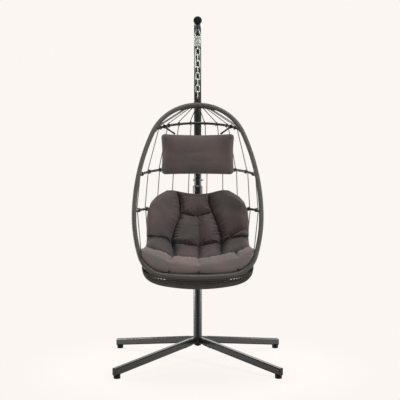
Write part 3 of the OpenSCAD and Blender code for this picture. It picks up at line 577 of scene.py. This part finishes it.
knots = [spaced(line, 2 * MM) for line in (knot_on(side_cord(-1)), knot_on(side_cord(1)), lashing())]
print("lashing:", len(knots[-1]), "points")


# %% The cords' finish, and the cords
def cord_finish(name, lay_mm, dark, light):
    """Laid polyethylene: matt, pale on its strands, with painted shade in the grooves between them."""
    made, tree, place = new_material(name)
    split = add(tree, "ShaderNodeSeparateXYZ", {0: place["UV"]}).outputs
    turned = maths(tree, "MULTIPLY_ADD", split[0], -1 / (lay_mm * MM), split[1])
    wave = maths(tree, "PINGPONG", maths(tree, "MULTIPLY", turned, LAY_STRANDS), 0.5)
    # Painted shade: the colour darkens in the grooves between the strands
    surface(tree, light, 0.7, {
        "Base Color": tones(tree, wave, (0.05, dark), (0.3, light)),
        "Normal": bumps(tree, grain(tree, place, FIBRE, 3.0), 0.4, 0.2)})
    return made


CORD = cord_finish("laid polyethylene cord", LAY, "#2C2A27", "#686560")
# The knots and the lashing are the back cords' cord, its colour darkened as painted shade
SHADED_CORD = cord_finish("laid polyethylene cord in painted shade", LAY, "#161514", "#33312E")
back_cords = bar("back_cords", cords, CORD, ROPE_D / 2 * MM, 12, cord_relief)
cord_knots = bar("cord_knots", knots, SHADED_CORD, ROPE_D / 2 * MM, 12, cord_relief)
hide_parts("back_ropes")
for piece in (back_cords, cord_knots):
    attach(piece, "basket")
print("cords:", len(cords), "triangles:", sum(len(p.vertices) - 2 for p in back_cords.data.polygons))

# %% [markdown]
# ## Seat strands
# Under the cushion thick strands of twisted cane hang side by side from the base ring and make a
# shallow bowl. Each is one bar in an upright plane: down the outer side of the ring, round a
# corner, across the bottom and up again. It is turned round the ring at both ends, so that the
# ring is almost hidden, and two more lie close together right behind the hoop.

# %% A strand's line
STRAND_SAG, STRAND_BOTTOM_R, STRAND_CORNER = 108, 1000, 0.5
STRAND_BACKS = [6, 13] + [20 + 15 * j for j in range(18)]
BOWL_MIDDLE = 0.5 * (RINGS[BASE][1] + ring_frame(BASE)[0])
BOWL_REACH, BOWL_POWER = 1.06 * BOWL_MIDDLE, 2.6
ARC_STEPS = 12
STRAND_OFF = (RING_D + STRAND_D) / 2 + FIT_GAP


def strand_place(back, side):
    """Where a strand hangs from the base ring, and the direction along the ring there."""
    half, leg, turn = ring_frame(BASE)
    if back < leg:
        return at_leg(BASE, side, back)
    return at_rope(BASE, side * math.acos((back - leg) / half))


def seat_strand(back):
    """The strand's line; the bowl is deepest in its middle and shallow at its front and back."""
    place, along = strand_place(back, 1)
    top = place / MM + Vector((STRAND_OFF, 0, 0))
    share = abs(back - BOWL_MIDDLE) / BOWL_REACH
    drop = STRAND_SAG * (1 - share**BOWL_POWER) ** (1 / BOWL_POWER)
    bottom_r = STRAND_BOTTOM_R * STRAND_SAG / drop
    corner_r = STRAND_CORNER * drop
    corner_x = top.x - corner_r
    lift = bottom_r - math.sqrt((bottom_r - corner_r) ** 2 - corner_x**2)
    tangent = math.asin(corner_x / (bottom_r - corner_r))
    bottom_z = top.z - drop
    half = [top]
    for i in range(ARC_STEPS + 1):
        a = (tangent - math.pi / 2) * i / ARC_STEPS
        half.append(Vector((corner_x + corner_r * math.cos(a), top.y,
                            bottom_z + lift + corner_r * math.sin(a))))
    for i in range(1, ARC_STEPS + 1):
        a = tangent * (1 - i / ARC_STEPS)
        half.append(Vector((bottom_r * math.sin(a), top.y, bottom_z + bottom_r * (1 - math.cos(a)))))
    return [p * MM for p in half + [Vector((-p.x, p.y, p.z)) for p in reversed(half[:-1])]]


strand_lines = [spaced(seat_strand(back), 3 * MM) for back in STRAND_BACKS]
print("seat strands:", len(strand_lines))

# %% Their turns round the ring, and the woven seat
STRAND_LAY, STRAND_GROOVE = 30, 0.14
WRAP_FROM, WRAP_TO, WRAP_ADVANCE = math.radians(60), math.radians(460), 9


def strand_wrap(back, side):
    """The strand's turn round the base ring, where it hangs from it."""
    place, along = strand_place(back, side)
    up = ring_frame(BASE)[2] @ Vector((0, 0, 1))
    return turns_round(place, up.cross(along), up, along, STRAND_OFF, WRAP_FROM, WRAP_TO, WRAP_ADVANCE)


# A twisted strand has two rounded edges
strand_relief = laid(STRAND_LAY, 2, STRAND_GROOVE)
# The strands are the cane's own dark brown, darkened further to near black as painted shade under the seat
SHADED_STRAND = cord_finish("twisted cane strand in painted shade", STRAND_LAY, "#0E0D0C", "#4E4B44")
strand_turns = [spaced(strand_wrap(back, side), 3 * MM) for back in STRAND_BACKS for side in (-1, 1)]
seat_strands = bar("woven_seat", strand_lines, SHADED_STRAND, STRAND_D / 2 * MM, 12, strand_relief)
strand_wraps = bar("strand_wraps", strand_turns, SHADED_STRAND, STRAND_D / 2 * MM, 12, strand_relief)
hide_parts("seat_strands")
for piece in (seat_strands, strand_wraps):
    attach(piece, "basket")
print("woven seat:", len(seat_strands.data.vertices), "points")

# %% [markdown]
# ## The spring
# A drawbar spring is pressed together when the chair is loaded: its end curls lie flat against
# each other and the middle ones are open. The frame's wire has six flat sides, so a round wire on
# the same line stands for it, a hair thinner.

# %% Coil spring
COIL_D, COIL_WIRE, COIL_TURNS, COIL_POINTS = 41, 4.8, 7, 36
WIRE_SHARE, COIL_GIVE = 0.97, 14.3
coil_low, coil_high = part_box("coil_spring")
# The flat sided wire of the frame is this much of its width high
FLAT_SIDED = math.sin(math.radians(60))
coil_rise = (coil_high.z - coil_low.z) / MM - COIL_WIRE * FLAT_SIDED
end_rise = COIL_WIRE + 2 * FIT_GAP
coil_r = (COIL_D - COIL_WIRE) / 2
coil_line = []
for i in range(COIL_TURNS * COIL_POINTS + 1):
    turn = i / COIL_POINTS
    height = np.interp(turn, [0, 0.75, 1, COIL_TURNS - 1, COIL_TURNS - 0.75, COIL_TURNS],
                       [0, 0, end_rise, coil_rise - end_rise, coil_rise, coil_rise])
    angle = 2 * math.pi * turn
    coil_line.append(Vector((coil_r * math.cos(angle), HANG_Y + coil_r * math.sin(angle),
                             coil_low.z / MM + COIL_WIRE / 2 * FLAT_SIDED + height)) * MM)
spring = bar("round_wire_spring", [coil_line], ZINC, COIL_WIRE / 2 * MM * WIRE_SHARE, 14)
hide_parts("coil_spring")
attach(spring, "hanger")
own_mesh(spring)
print(f"spring: {coil_rise + COIL_WIRE:.1f} mm long")

# %% [markdown]
# ## The seat cushion
# One cushion makes the back, the sides and the seat. It follows a middle line down the back,
# round a bend and along the seat, and its sides stand forward like a bowl. Two sewn channels run
# from its top to the roll at its front, cross seams and tufts pull the middle in, and the front
# edge is a thick roll. It starts as a flat grid whose points are moved onto that form.

# %% The cushion's middle line and outline, in millimetres
BACK_LEAN, SEAT_FALL, BEND_R, BACK_L, SEAT_L = 14, 2, 120, 278, 260
SEAT_W, PAD_T, ROLL_T, ROLL_W, SEAT_DEPTH = 550, 52, 22, 56, 120
BEND_SWEEP = 90 - SEAT_FALL - BACK_LEAN
BEND_L = BEND_R * math.radians(BEND_SWEEP)
CUSHION_L = BACK_L + BEND_L + SEAT_L
ROLL_AT = CUSHION_L - ROLL_W
# The front edge lies this much behind the hoop's foot and above it
FRONT_BEHIND, FRONT_ABOVE = 7, 55.5


def unit(x):
    """A value held between 0 and 1."""
    return np.clip(x, 0, 1)


def smooth(x):
    """0 before 0, 1 after 1, and an even S between."""
    t = unit(x)
    return t * t * (3 - 2 * t)


def middle_line(t):
    """The middle line's point (y, z) from its top, and its lean, at a distance t along it."""
    angle = np.radians(BACK_LEAN + BEND_SWEEP * unit((t - BACK_L) / BEND_L))
    lean = math.radians(BACK_LEAN)
    down, on = np.minimum(t, BACK_L), np.maximum(0, t - BACK_L - BEND_L)
    y = -down * math.sin(lean) - BEND_R * (math.cos(lean) - np.cos(angle)) - on * np.sin(angle)
    z = -down * math.cos(lean) - BEND_R * (np.sin(angle) - math.sin(lean)) - on * np.cos(angle)
    return y, z, angle


hoop_foot = on_hoop(0, HOOP_LENGTH, 0) / MM
front_y, front_z, _ = middle_line(CUSHION_L)
BACK_TOP = (hoop_foot.y + FRONT_BEHIND - front_y, hoop_foot.z + FRONT_ABOVE - front_z)
print(f"cushion's middle line: {CUSHION_L:.0f} mm")

# %% The cushion's top edge and bowl
SHOULDER_X = [0, 60, 110, 140, 170, 196, 227, 253, 269, 275]
SHOULDER_DROP = [17, 12, 3, 0, 6, 24, 50, 86, 138, 190]
SIDE_RISE = 79
BACK_R = ring_frame(2)[0]


def shoulder(x):
    """How far down the middle line the top edge starts: a dip between two lobes, round shoulders."""
    return np.interp(np.abs(x), SHOULDER_X, SHOULDER_DROP)


def bowl(t, x):
    """How far the sides stand forward of the back, as the rings do, or above the seat."""
    on_seat = smooth((t - BACK_L - BEND_L / 2) / BEND_L)
    return (1 - on_seat) * (BACK_R - np.sqrt(BACK_R**2 - x**2)) + on_seat * SIDE_RISE * (2 * x / SEAT_W) ** 2


print("the sides stand", round(float(bowl(0, SEAT_W / 2))), "mm forward and", SIDE_RISE, "mm up")

# %% [markdown]
# A seam pulls the cover down to the base cloth, deepest on the thread itself, and the stuffing
# swells up on both sides of it. Cloth that is sewn down has more length than its seam, so it
# puckers in short folds square to it. A tuft is one stitch that does the same in a star.

# %% Seams as lines on the cushion: (distance along, distance across), then depth and width
SEAMS = [
    # Two channels from the top to the roll
    ([(0, -127), (39, -103), (94, -97), (149, -97), (197, -116), (254, -135), (290, -142), (340, -138),
      (451, -126), (ROLL_AT, -122)], 30, 14),
    ([(0, 62), (72, 64), (129, 83), (180, 107), (269, 131), (340, 134), (451, 130), (ROLL_AT, 127)],
     30, 14),
    # The middle's cross seams, and what joins them
    ([(132, -97), (148, -2), (126, 80)], 17, 12),
    ([(345, -138), (337, 8), (340, 134)], 22, 12),
    ([(337, 8), (ROLL_AT, 8)], 18, 10),
    ([(148, -2), (240, 6), (337, 8)], 6, 22),
    # The arms
    ([(322, -275), (300, -225), (292, -177), (345, -138)], 20, 11),
    ([(262, 275), (268, 230), (285, 190), (340, 134)], 17, 12),
    # The roll
    ([(ROLL_AT + 8, -275), (ROLL_AT - 2, -150), (ROLL_AT, 0), (ROLL_AT - 2, 150), (ROLL_AT + 8, 275)],
     44, 13),
    ([(ROLL_AT + 14, -118), (ROLL_AT + 40, -134), (CUSHION_L - 4, -142)], 15, 8),
    ([(ROLL_AT + 14, 188), (CUSHION_L - 4, 197)], 13, 8),
    ([(CUSHION_L - 18, 3), (CUSHION_L, 3)], 7, 8)]
TUFTS = [(148, -2, 16, 22), (337, 8, 14, 22)]


def distance_to(line, t, x):
    """Distance of each point to a line of short straight parts, and how far along it is."""
    best, along_best, gone = np.full(t.shape, 1e9), np.zeros(t.shape), 0.0
    for (t0, x0), (t1, x1) in zip(line, line[1:]):
        length = math.hypot(t1 - t0, x1 - x0)
        share = unit(((t - t0) * (t1 - t0) + (x - x0) * (x1 - x0)) / length**2)
        away = np.hypot(t - t0 - share * (t1 - t0), x - x0 - share * (x1 - x0))
        along_best = np.where(away < best, gone + share * length, along_best)
        best = np.minimum(best, away)
        gone += length
    return best, along_best


print("seams:", len(SEAMS), "tufts:", len(TUFTS))

# %% The stuffed front
EDGE_ROUND, ROLL_BULGE, SWELL, SWELL_REACH = 46, 15, 22, 34
THREAD_CUT, TUFT_PULL = 4.5, 16
PUCKER_STEP, PUCKER_H, PUCKER_REACH = 27, 6.5, 22
SEAM_PUCKER_AT, TUFT_PUCKER_AT, TUFT_FOLDS = 11, 26, 9
LUMP_H = 2.88


def cuts_and_puckers(t, x):
    """Distance to the next seam, how deep seams and tufts pull the cover in, and its folds there."""
    near, cut, pucker = np.full(t.shape, 1e9), np.zeros(t.shape), np.zeros(t.shape)
    for line, depth, width in SEAMS:
        away, along = distance_to(line, t, x)
        near = np.minimum(near, away)
        groove = 1.15 * depth * np.exp(-(away / width) ** 1.1)
        cut = np.maximum(cut, groove + 0.45 * depth * np.exp(-(away / THREAD_CUT) ** 2))
        wave = np.abs(np.sin(along * math.pi / PUCKER_STEP + 2.1 * np.sin(along / 33 + depth)
                             + 0.02 * away))
        reach = np.exp(-((away - SEAM_PUCKER_AT) / PUCKER_REACH) ** 2)
        pucker -= (1 - wave) ** 2 * reach * min(1.2, depth / 20)
    for t0, x0, depth, width in TUFTS:
        away = np.hypot(t - t0, x - x0)
        cut = np.maximum(cut, (depth + TUFT_PULL) * np.exp(-away / width))
        spokes = np.abs(np.sin(TUFT_FOLDS / 2 * np.arctan2(t - t0, x - x0) + 1.3))
        pucker -= 1.3 * (1 - spokes) ** 2 * np.exp(-((away - TUFT_PUCKER_AT) / PUCKER_REACH) ** 2)
    return near, cut, pucker


def padding(t, x, edge):
    """Height of the stuffed front over the cushion's middle sheet."""
    round_edge = np.sqrt(unit(1 - (1 - unit(edge / EDGE_ROUND)) ** 2))
    thick = PAD_T + (ROLL_T - PAD_T) * smooth((t - BACK_L) / (CUSHION_L - BACK_L))
    height = thick * round_edge * (1 - 0.35 * smooth((t - ROLL_AT + 30) / 60) * (2 * x / SEAT_W) ** 4)
    roll = unit((t - ROLL_AT) / (CUSHION_L - ROLL_AT))
    height += ROLL_BULGE * np.sqrt(unit(4 * roll * (1 - roll))) * unit(edge / 20)
    near, cut, pucker = cuts_and_puckers(t, x)
    height += SWELL * (1 - np.exp(-near / SWELL_REACH)) * unit(edge / 40)
    lumps_here = np.sin(x / 23 + 1.7 * np.sin(t / 41)) * np.sin(t / 29 + 1.3 * np.sin(x / 37 + 2))
    folds = (PUCKER_H * pucker + LUMP_H * lumps_here) * unit(edge / 30)
    return np.maximum(0, height - np.minimum(cut, height * 0.9)) + folds


# %% [markdown]
# The back of the pad is plain. Under the seat it lies deep in the bowl of strands, so it is
# thicker there, and the roll's seams wrap round its front and show as creases below.

# %% The underside
UNDER_X = [0, 154, 207, 243, 265, 275]
UNDER_FRONT = [34, 58, 70, 70, 58, 40]
ROLL_CREASES = [(-142, 14), (3, 7), (197, 12)]


def underside(t, x, edge):
    """Depth of the padding behind the back and under the seat, where it lies in the bowl."""
    on_seat = smooth((t - BACK_L - BEND_L + 20) / 80)
    bowl_round = unit(1 - (1 - unit((CUSHION_L - t - 25) / 130)) ** 2)
    under_front = np.interp(np.abs(x), UNDER_X, UNDER_FRONT)
    below = on_seat * (under_front + (SEAT_DEPTH - under_front) * np.sqrt(bowl_round))
    u = unit(np.abs(x) / (SEAT_W / 2))
    crease = sum(depth * np.exp(-((x - place) / 6) ** 2) for place, depth in ROLL_CREASES)
    crease = crease * unit(1 - (CUSHION_L - t) / 60) * unit(edge / 12)
    pad = (0.9 * PAD_T * (1 - on_seat) + below) * (1 - u**8) ** 0.4 * unit(edge / 12) ** 0.5
    return np.maximum(0, pad - crease)


# %% The cushion's two sheets
HALF_PAD, CROWDED, ROLL_WIDER = 2, 0.94 * math.pi / 2, 0.045
# The roll's painted light goes on this far under it, and then the cloth soon takes the painted shade of the
# back
PAINTED_LIGHT_UNDER, PAINTED_LIGHT_FALL = 45, 9


def cushion_sheet(along, across, front):
    """Moves grid points (0..1 along, -1..1 across) onto the front or the back of the cushion."""
    x = np.sin(across * CROWDED) / math.sin(CROWDED) * SEAT_W / 2
    start = shoulder(x)
    t = start + (CUSHION_L - start) * along
    edge = np.minimum(np.minimum(t - start, CUSHION_L - t), SEAT_W / 2 - np.abs(x))
    y, z, angle = middle_line(t)
    pad = HALF_PAD + padding(t, x, edge) if front else -HALF_PAD - underside(t, x, edge)
    lift = bowl(t, x) + pad
    wide = x * (1 + ROLL_WIDER * smooth((t - ROLL_AT + 30) / 50))
    placed = np.stack([wide, BACK_TOP[0] + y - lift * np.cos(angle),
                       BACK_TOP[1] + z + lift * np.sin(angle)], axis=-1)
    # The back sheet takes the roll's painted light a little way under the roll, then the back's painted
    # shade
    cloth = t if front else t - PAINTED_LIGHT_FALL * np.maximum(0, CUSHION_L - PAINTED_LIGHT_UNDER - t)
    return placed * MM, x, cloth


# %% Two grids closed round their edge
def pad_form(sheet, columns, rows):
    """A closed pad: the same grid twice, moved by sheet(), and joined round the edge."""
    whole = bmesh.new()
    mapping = whole.loops.layers.uv.new("cloth")
    rims = []
    for front in (True, False):
        made = bmesh.ops.create_grid(whole, x_segments=columns, y_segments=rows, size=1)["verts"]
        flat = np.array([v.co for v in made])
        places, right, down = sheet((1 - flat[:, 1]) / 2, flat[:, 0], front)
        for v, place in zip(made, places):
            v.co = place
        spot = {v: (r * MM, d * MM) for v, r, d in zip(made, right, down)}
        for face in {f for v in made for f in v.link_faces}:
            for loop in face.loops:
                loop[mapping].uv = spot[loop.vert]
        rims += [e for e in {e for v in made for e in v.link_edges} if e.is_boundary]
    band = bmesh.ops.bridge_loops(whole, edges=rims)["faces"]
    for face in band:
        for loop in face.loops:
            other = next(near for near in loop.vert.link_loops if near.face not in band)
            loop[mapping].uv = other[mapping].uv
    return whole


seat_form = pad_form(cushion_sheet, 190, 250)
print("cushion:", len(seat_form.verts), "points over", round(CUSHION_L), "mm")

# %% [markdown]
# ## Cloth
# The cover is a plain woven polyester, dark grey with warmer threads in it, so its colour varies
# a little from place to place. Its threads are half a millimetre apart; they are drawn three
# times as coarse, so that the weave shows. Such cloth has a soft sheen. Light and shade are
# painted into its colour along its length: painted shade darkens the back and more so the seat,
# and painted light makes the roll pale. The pillow is of the same cloth, with the back's painted
# shade.

# %% Woven polyester
THREAD, YARN, PATCH = 1.5, 3.0, 160
# The level of painted light and shade from the cushion's top to its front: (share of the length, level)
PAINTED_LIGHT_LEVELS = [(0.0, 0.54), (0.03, 0.52), (0.42, 0.54), (0.55, 0.43), (ROLL_AT / CUSHION_L - 0.005, 0.3),
       (ROLL_AT / CUSHION_L + 0.012, 1.2), (0.96, 1.0)]


def woven_cloth(name, dark, light, warm):
    """A plain weave in two greys and a warmer one, with painted light and shade along its length."""
    made, tree, place = new_material(name)
    split = add(tree, "ShaderNodeSeparateXYZ", {0: place["UV"]}).outputs
    threads = [maths(tree, "SINE", maths(tree, "MULTIPLY", split[axis], math.pi / (THREAD * MM)))
               for axis in (0, 1)]
    yarn = grain(tree, place, YARN, 3.0, 0.7)
    weave = maths(tree, "MULTIPLY_ADD", maths(tree, "MULTIPLY", *threads), 0.5, yarn)
    greys = tones(tree, yarn, (0.3, dark), (0.7, light))
    patch = add(tree, "ShaderNodeMapRange",
                {"Value": grain(tree, place, PATCH), "From Min": 0.4, "From Max": 0.65})
    mixed = add(tree, "ShaderNodeMix", {0: patch, 6: greys, 7: linear(warm)}, data_type="RGBA")
    # Painted shade on the back and more on the seat, painted light over the roll: a level along the cushion
    # multiplies the colour
    along = maths(tree, "DIVIDE", split[1], CUSHION_L * MM)
    painted_light_level = tones(tree, along, *[(position, (level, level, level, 1)) for position, level in PAINTED_LIGHT_LEVELS])
    lit_and_shaded = add(tree, "ShaderNodeMix", {0: 1.0, 6: mixed.outputs[2], 7: painted_light_level},
                 data_type="RGBA", blend_type="MULTIPLY")
    surface(tree, light, 0.92, {
        "Specular IOR Level": 0.15, "Sheen Weight": 0.06, "Sheen Roughness": 0.6,
        "Base Color": lit_and_shaded.outputs[2], "Normal": bumps(tree, weave, 0.35, 0.5)})
    return made


CLOTH = woven_cloth("woven polyester", "#605A58", "#766E6C", "#7B6C6A")
seat_cushion = new_object("seat_cushion_cover", seat_form, CLOTH)
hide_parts("seat_cushion")
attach(seat_cushion, "basket")
print("threads", THREAD, "mm apart on", seat_cushion.name)

# %% [markdown]
# ## The head pillow
# A filled pillow case: flat at its sewn edge, crowned in the middle, its sides drawn in between
# four small ears, with short creases square to its seams and two shallow dents in its face. It is
# made as the cushion is, from two grids.

# %% The pillow
PILLOW_W, PILLOW_H, PILLOW_T, PILLOW_LEAN = 402, 226, 100, math.radians(6)
PILLOW_CORNER, EAR_H = 27, 7
SIDE_PULL, TOP_PULL, FOOT_PULL = 0.032, 0.085, 0.035
pillow_low, pillow_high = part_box("head_pillow")
pillow_centre = (pillow_low + pillow_high) / 2


def round_corner(x, z, radius):
    """Squeezes the square corners of the case to round ones."""
    over_x = unit((np.abs(x) - PILLOW_W / 2 + radius) / radius)
    over_z = unit((np.abs(z) - PILLOW_H / 2 + radius) / radius)
    new_x = over_x * np.sqrt(1 - over_z**2 / 2)
    new_z = over_z * np.sqrt(1 - over_x**2 / 2)
    return x + np.sign(x) * (new_x - over_x) * radius, z + np.sign(z) * (new_z - over_z) * radius


def pillow_creases(p, q):
    """Short creases at the side and the long seams, and two dents; p is across and q is up."""
    at_sides = np.exp(-((1 - np.abs(p)) / 0.16) ** 2) * (1 - p**8)
    at_long = np.exp(-((1 - np.abs(q)) / 0.22) ** 2) * (1 - q**8)
    crease = 2.2 * np.sin(15 * (p - 0.4 * q) + 3 * q) * at_sides + 1.6 * np.sin(17 * p + 2) * at_long
    upper = ((q - 0.12 - 0.1 * np.sin(3 * p)) / 0.11) ** 2 + ((p + 0.05) / 0.45) ** 2
    lower = ((q + 0.25 + 0.08 * np.sin(4 * p + 1)) / 0.1) ** 2 + ((p - 0.15) / 0.4) ** 2
    return crease - 2.0 * np.exp(-upper) - 1.5 * np.exp(-lower)


def pillow_sheet(along, across, front):
    """Moves grid points (0..1 down, -1..1 across) onto the front or the back of the pillow."""
    q, p = 1 - 2 * along, across
    ear = np.exp(-((np.abs(p) - 0.93) / 0.07) ** 2 - ((np.abs(q) - 0.9) / 0.13) ** 2)
    bulge = PILLOW_T / 2 * np.sqrt(unit((1 - p**4) * (1 - q**4))) + EAR_H * ear
    y = (-1 if front else 1) * (HALF_PAD + np.maximum(0, bulge + pillow_creases(p, q)))
    x, z = round_corner(PILLOW_W / 2 * p, PILLOW_H / 2 * q, PILLOW_CORNER)
    x = x * (1 - SIDE_PULL * (1 - q**2) ** 1.2 * p**2)
    z = z * (1 - np.where(q > 0, TOP_PULL, FOOT_PULL) * (1 - p**2) ** 0.8 * q**2)
    placed = np.stack([x, y * math.cos(PILLOW_LEAN) - z * math.sin(PILLOW_LEAN),
                       y * math.sin(PILLOW_LEAN) + z * math.cos(PILLOW_LEAN)], axis=-1) * MM
    return placed + np.array(pillow_centre), x, z


head_pillow = new_object("head_pillow_cover", pad_form(pillow_sheet, 90, 60), CLOTH)
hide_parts("head_pillow")
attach(head_pillow, "basket")
print("pillow:", len(head_pillow.data.vertices), "points")

# %% [markdown]
# The pillow hangs from the first ring by two tapes. The frame's thin ties keep their shape, with
# their loops, in the tape's finish. Over each lies a gathered strip, full where it is sewn to
# the pillow and drawn thin towards its loop.

# %% Pillow ties
TIE_LOW, TIE_HIGH, TIE_R = Vector((126, -168, 1323)), Vector((181, -131, 1358)), 6
tie_length = (TIE_HIGH - TIE_LOW).length * MM


def tie_folds(along, turn):
    """A taper with three folds that wind round it."""
    return (1 - 0.5 * along / tie_length) * (0.87 + 0.13 * np.cos(3 * turn + 60 * along))


tie_points = [TIE_LOW.lerp(TIE_HIGH, part) for part in (0, 0.33, 0.66, 1)]
tie_lines = [[Vector((side * p.x, p.y, p.z)) * MM for p in tie_points] for side in (-1, 1)]
tie_strips = bar("pillow_tie_strips", tie_lines, TIE_TAPE, TIE_R * MM, 18, tie_folds)
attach(tie_strips, "basket")
print(f"pillow ties: {tie_length / MM:.0f} mm from the pillow to the ring")

# %% [markdown]
# ## Floor, light and camera
# The floor and what is behind it are one warm white. Close to the feet the floor takes a small
# share of the real light, so that a faint shadow keeps the chair on the ground. Shiny parts don't
# mirror it.

# %% Floor
BACKDROP = linear("#FBF6F2")
FLOOR_HALF, SHADOW_NEAR, SHADOW_FAR, PLAIN_SHARE = 40, 0.55, 1.1, 0.9


def floor_white(name):
    """Plain white from SHADOW_FAR on; within it a little of the lit colour shows."""
    made, tree, place = new_material(name)
    lit = add(tree, "ShaderNodeBsdfDiffuse", {"Color": BACKDROP})
    plain = add(tree, "ShaderNodeEmission", {"Color": BACKDROP, "Strength": 1})
    away = add(tree, "ShaderNodeVectorMath", {0: place["Object"]}, operation="LENGTH").outputs["Value"]
    reach = {"From Min": SHADOW_NEAR, "From Max": SHADOW_FAR, "To Min": PLAIN_SHARE}
    fade = add(tree, "ShaderNodeMapRange", {"Value": away, **reach}, interpolation_type="SMOOTHSTEP")
    mixed = add(tree, "ShaderNodeMixShader", {0: fade, 1: lit, 2: plain})
    add(tree, "ShaderNodeOutputMaterial", {"Surface": mixed})
    return made


ground = bmesh.new()
bmesh.ops.create_grid(ground, x_segments=1, y_segments=1, size=FLOOR_HALF)
floor = new_object("floor", ground, floor_white("studio floor"))
floor.visible_glossy = False
print("floor's shadow fades out at", SHADOW_FAR, "m")

# %% [markdown]
# What a coated tube mirrors makes its look. In a studio it is a dim room with a long white panel
# at each side, a little below the eye, which draws a bright line down that edge of a tube, and a
# pale wall behind. So the world gives mirrored rays that room, the camera the plain backdrop, and
# everything else an even soft light.

# %% What shiny parts mirror
PANEL_LIGHT, WALL_LIGHT, ROOM_LIGHT, SOFT_LIGHT = 2.6, 0.9, 0.22, 0.3
world = bpy.data.worlds.new("studio")
bpy.context.scene.world = world
world.use_nodes = True
sky = world.node_tree
sky.nodes.clear()
generated = add(sky, "ShaderNodeTexCoord").outputs["Generated"]
way = add(sky, "ShaderNodeSeparateXYZ", {0: generated}).outputs
# Each band is 0 on one side of a soft edge and 1 on the other, by the ray's direction
edges = [(maths(sky, "ABSOLUTE", way[0]), 0.45, 0.75), (way[2], -0.04, -0.12), (way[2], -0.24, -0.16),
         (way[1], 0.2, 0.7), (way[2], 0.1, 0.2)]
beside, under_eye, over_floor, behind, raised = [
    add(sky, "ShaderNodeMapRange", {"Value": value, "From Min": start, "From Max": end},
        interpolation_type="SMOOTHSTEP") for value, start, end in edges]
panels = maths(sky, "MULTIPLY", maths(sky, "MULTIPLY", beside, under_eye), over_floor)
wall = maths(sky, "MULTIPLY", behind, raised)
room = maths(sky, "MULTIPLY_ADD", wall, WALL_LIGHT, ROOM_LIGHT)
mirrored = maths(sky, "MULTIPLY_ADD", panels, PANEL_LIGHT, room)
ray = add(sky, "ShaderNodeLightPath").outputs
unseen = add(sky, "ShaderNodeMix", {0: ray["Is Glossy Ray"], 2: SOFT_LIGHT, 3: mirrored})
seen = maths(sky, "MAXIMUM", ray["Is Camera Ray"], ray["Is Transmission Ray"])
level = add(sky, "ShaderNodeMix", {0: seen, 2: unseen, 3: 1.0})
glow = add(sky, "ShaderNodeBackground", {"Color": BACKDROP, "Strength": level})
add(sky, "ShaderNodeOutputWorld", {"Surface": glow})
print("mirrored panels at", PANEL_LIGHT, "times the backdrop")

# %% [markdown]
# A big softbox overhead lights the seat and the front roll, and a key from the right gives the
# cushion its shading. Two low strips edge the cane and the legs, and one lamp behind lifts the
# outline of the cords.


# %% Lamps
def softbox(name, place, aim, size, power):
    """A rectangular lamp at a place, turned to its aim."""
    lamp = bpy.data.lights.new(name, "AREA")
    lamp.shape = "RECTANGLE"
    lamp.size, lamp.size_y = size
    lamp.energy = power
    made = in_scene(name, lamp)
    made.location = place
    made.rotation_euler = (Vector(aim) - Vector(place)).to_track_quat("-Z", "Y").to_euler()


LAMPS = {"overhead_softbox": ((0.0, -0.5, 4.4), (0, -0.1, 0.6), (2.6, 2.6), 150),
         "key_softbox": ((3.0, -2.8, 3.0), (0, 0, 0.9), (1.6, 1.6), 85),
         "left_strip": ((-2.4, 0.5, 0.55), (0, 0.1, 0.5), (0.8, 1.1), 55),
         "right_strip": ((2.4, 0.4, 0.55), (0, 0.1, 0.5), (0.7, 1.1), 28),
         "rim_softbox": ((0.6, 3.6, 2.6), (0, 0, 0.6), (2.6, 1.6), 30)}
for name, settings in LAMPS.items():
    softbox(name, *settings)
print("lamps:", len(LAMPS), "with", sum(settings[-1] for settings in LAMPS.values()), "W")

# %% [markdown]
# The camera stands five metres in front of the post and a little over a metre up, and looks down
# by two degrees. The lens is worked out from its focal length in pixels.

# %% Camera
VIEW_DISTANCE, EYE_HEIGHT = 5.146, 1.1554
PITCH, YAW = math.radians(2.317), math.radians(0.151)
SENSOR_W, FOCAL_PX, VIEW_PX = 36, 881, 400
POST_Y = sum(corner.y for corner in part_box("lower_post")) / 2
lens = bpy.data.cameras.new("camera")
lens.sensor_width = SENSOR_W
lens.lens = SENSOR_W * FOCAL_PX / VIEW_PX
camera = in_scene("camera", lens)
camera.location = (0, POST_Y - VIEW_DISTANCE, EYE_HEIGHT)
camera.rotation_euler = (math.pi / 2 - PITCH, 0, -YAW)
bpy.context.scene.camera = camera
bpy.context.scene.view_settings.view_transform = "Standard"
print(f"lens: {lens.lens:.1f} mm")

# %% The end: the scene brought up to date
bpy.context.view_layer.update()
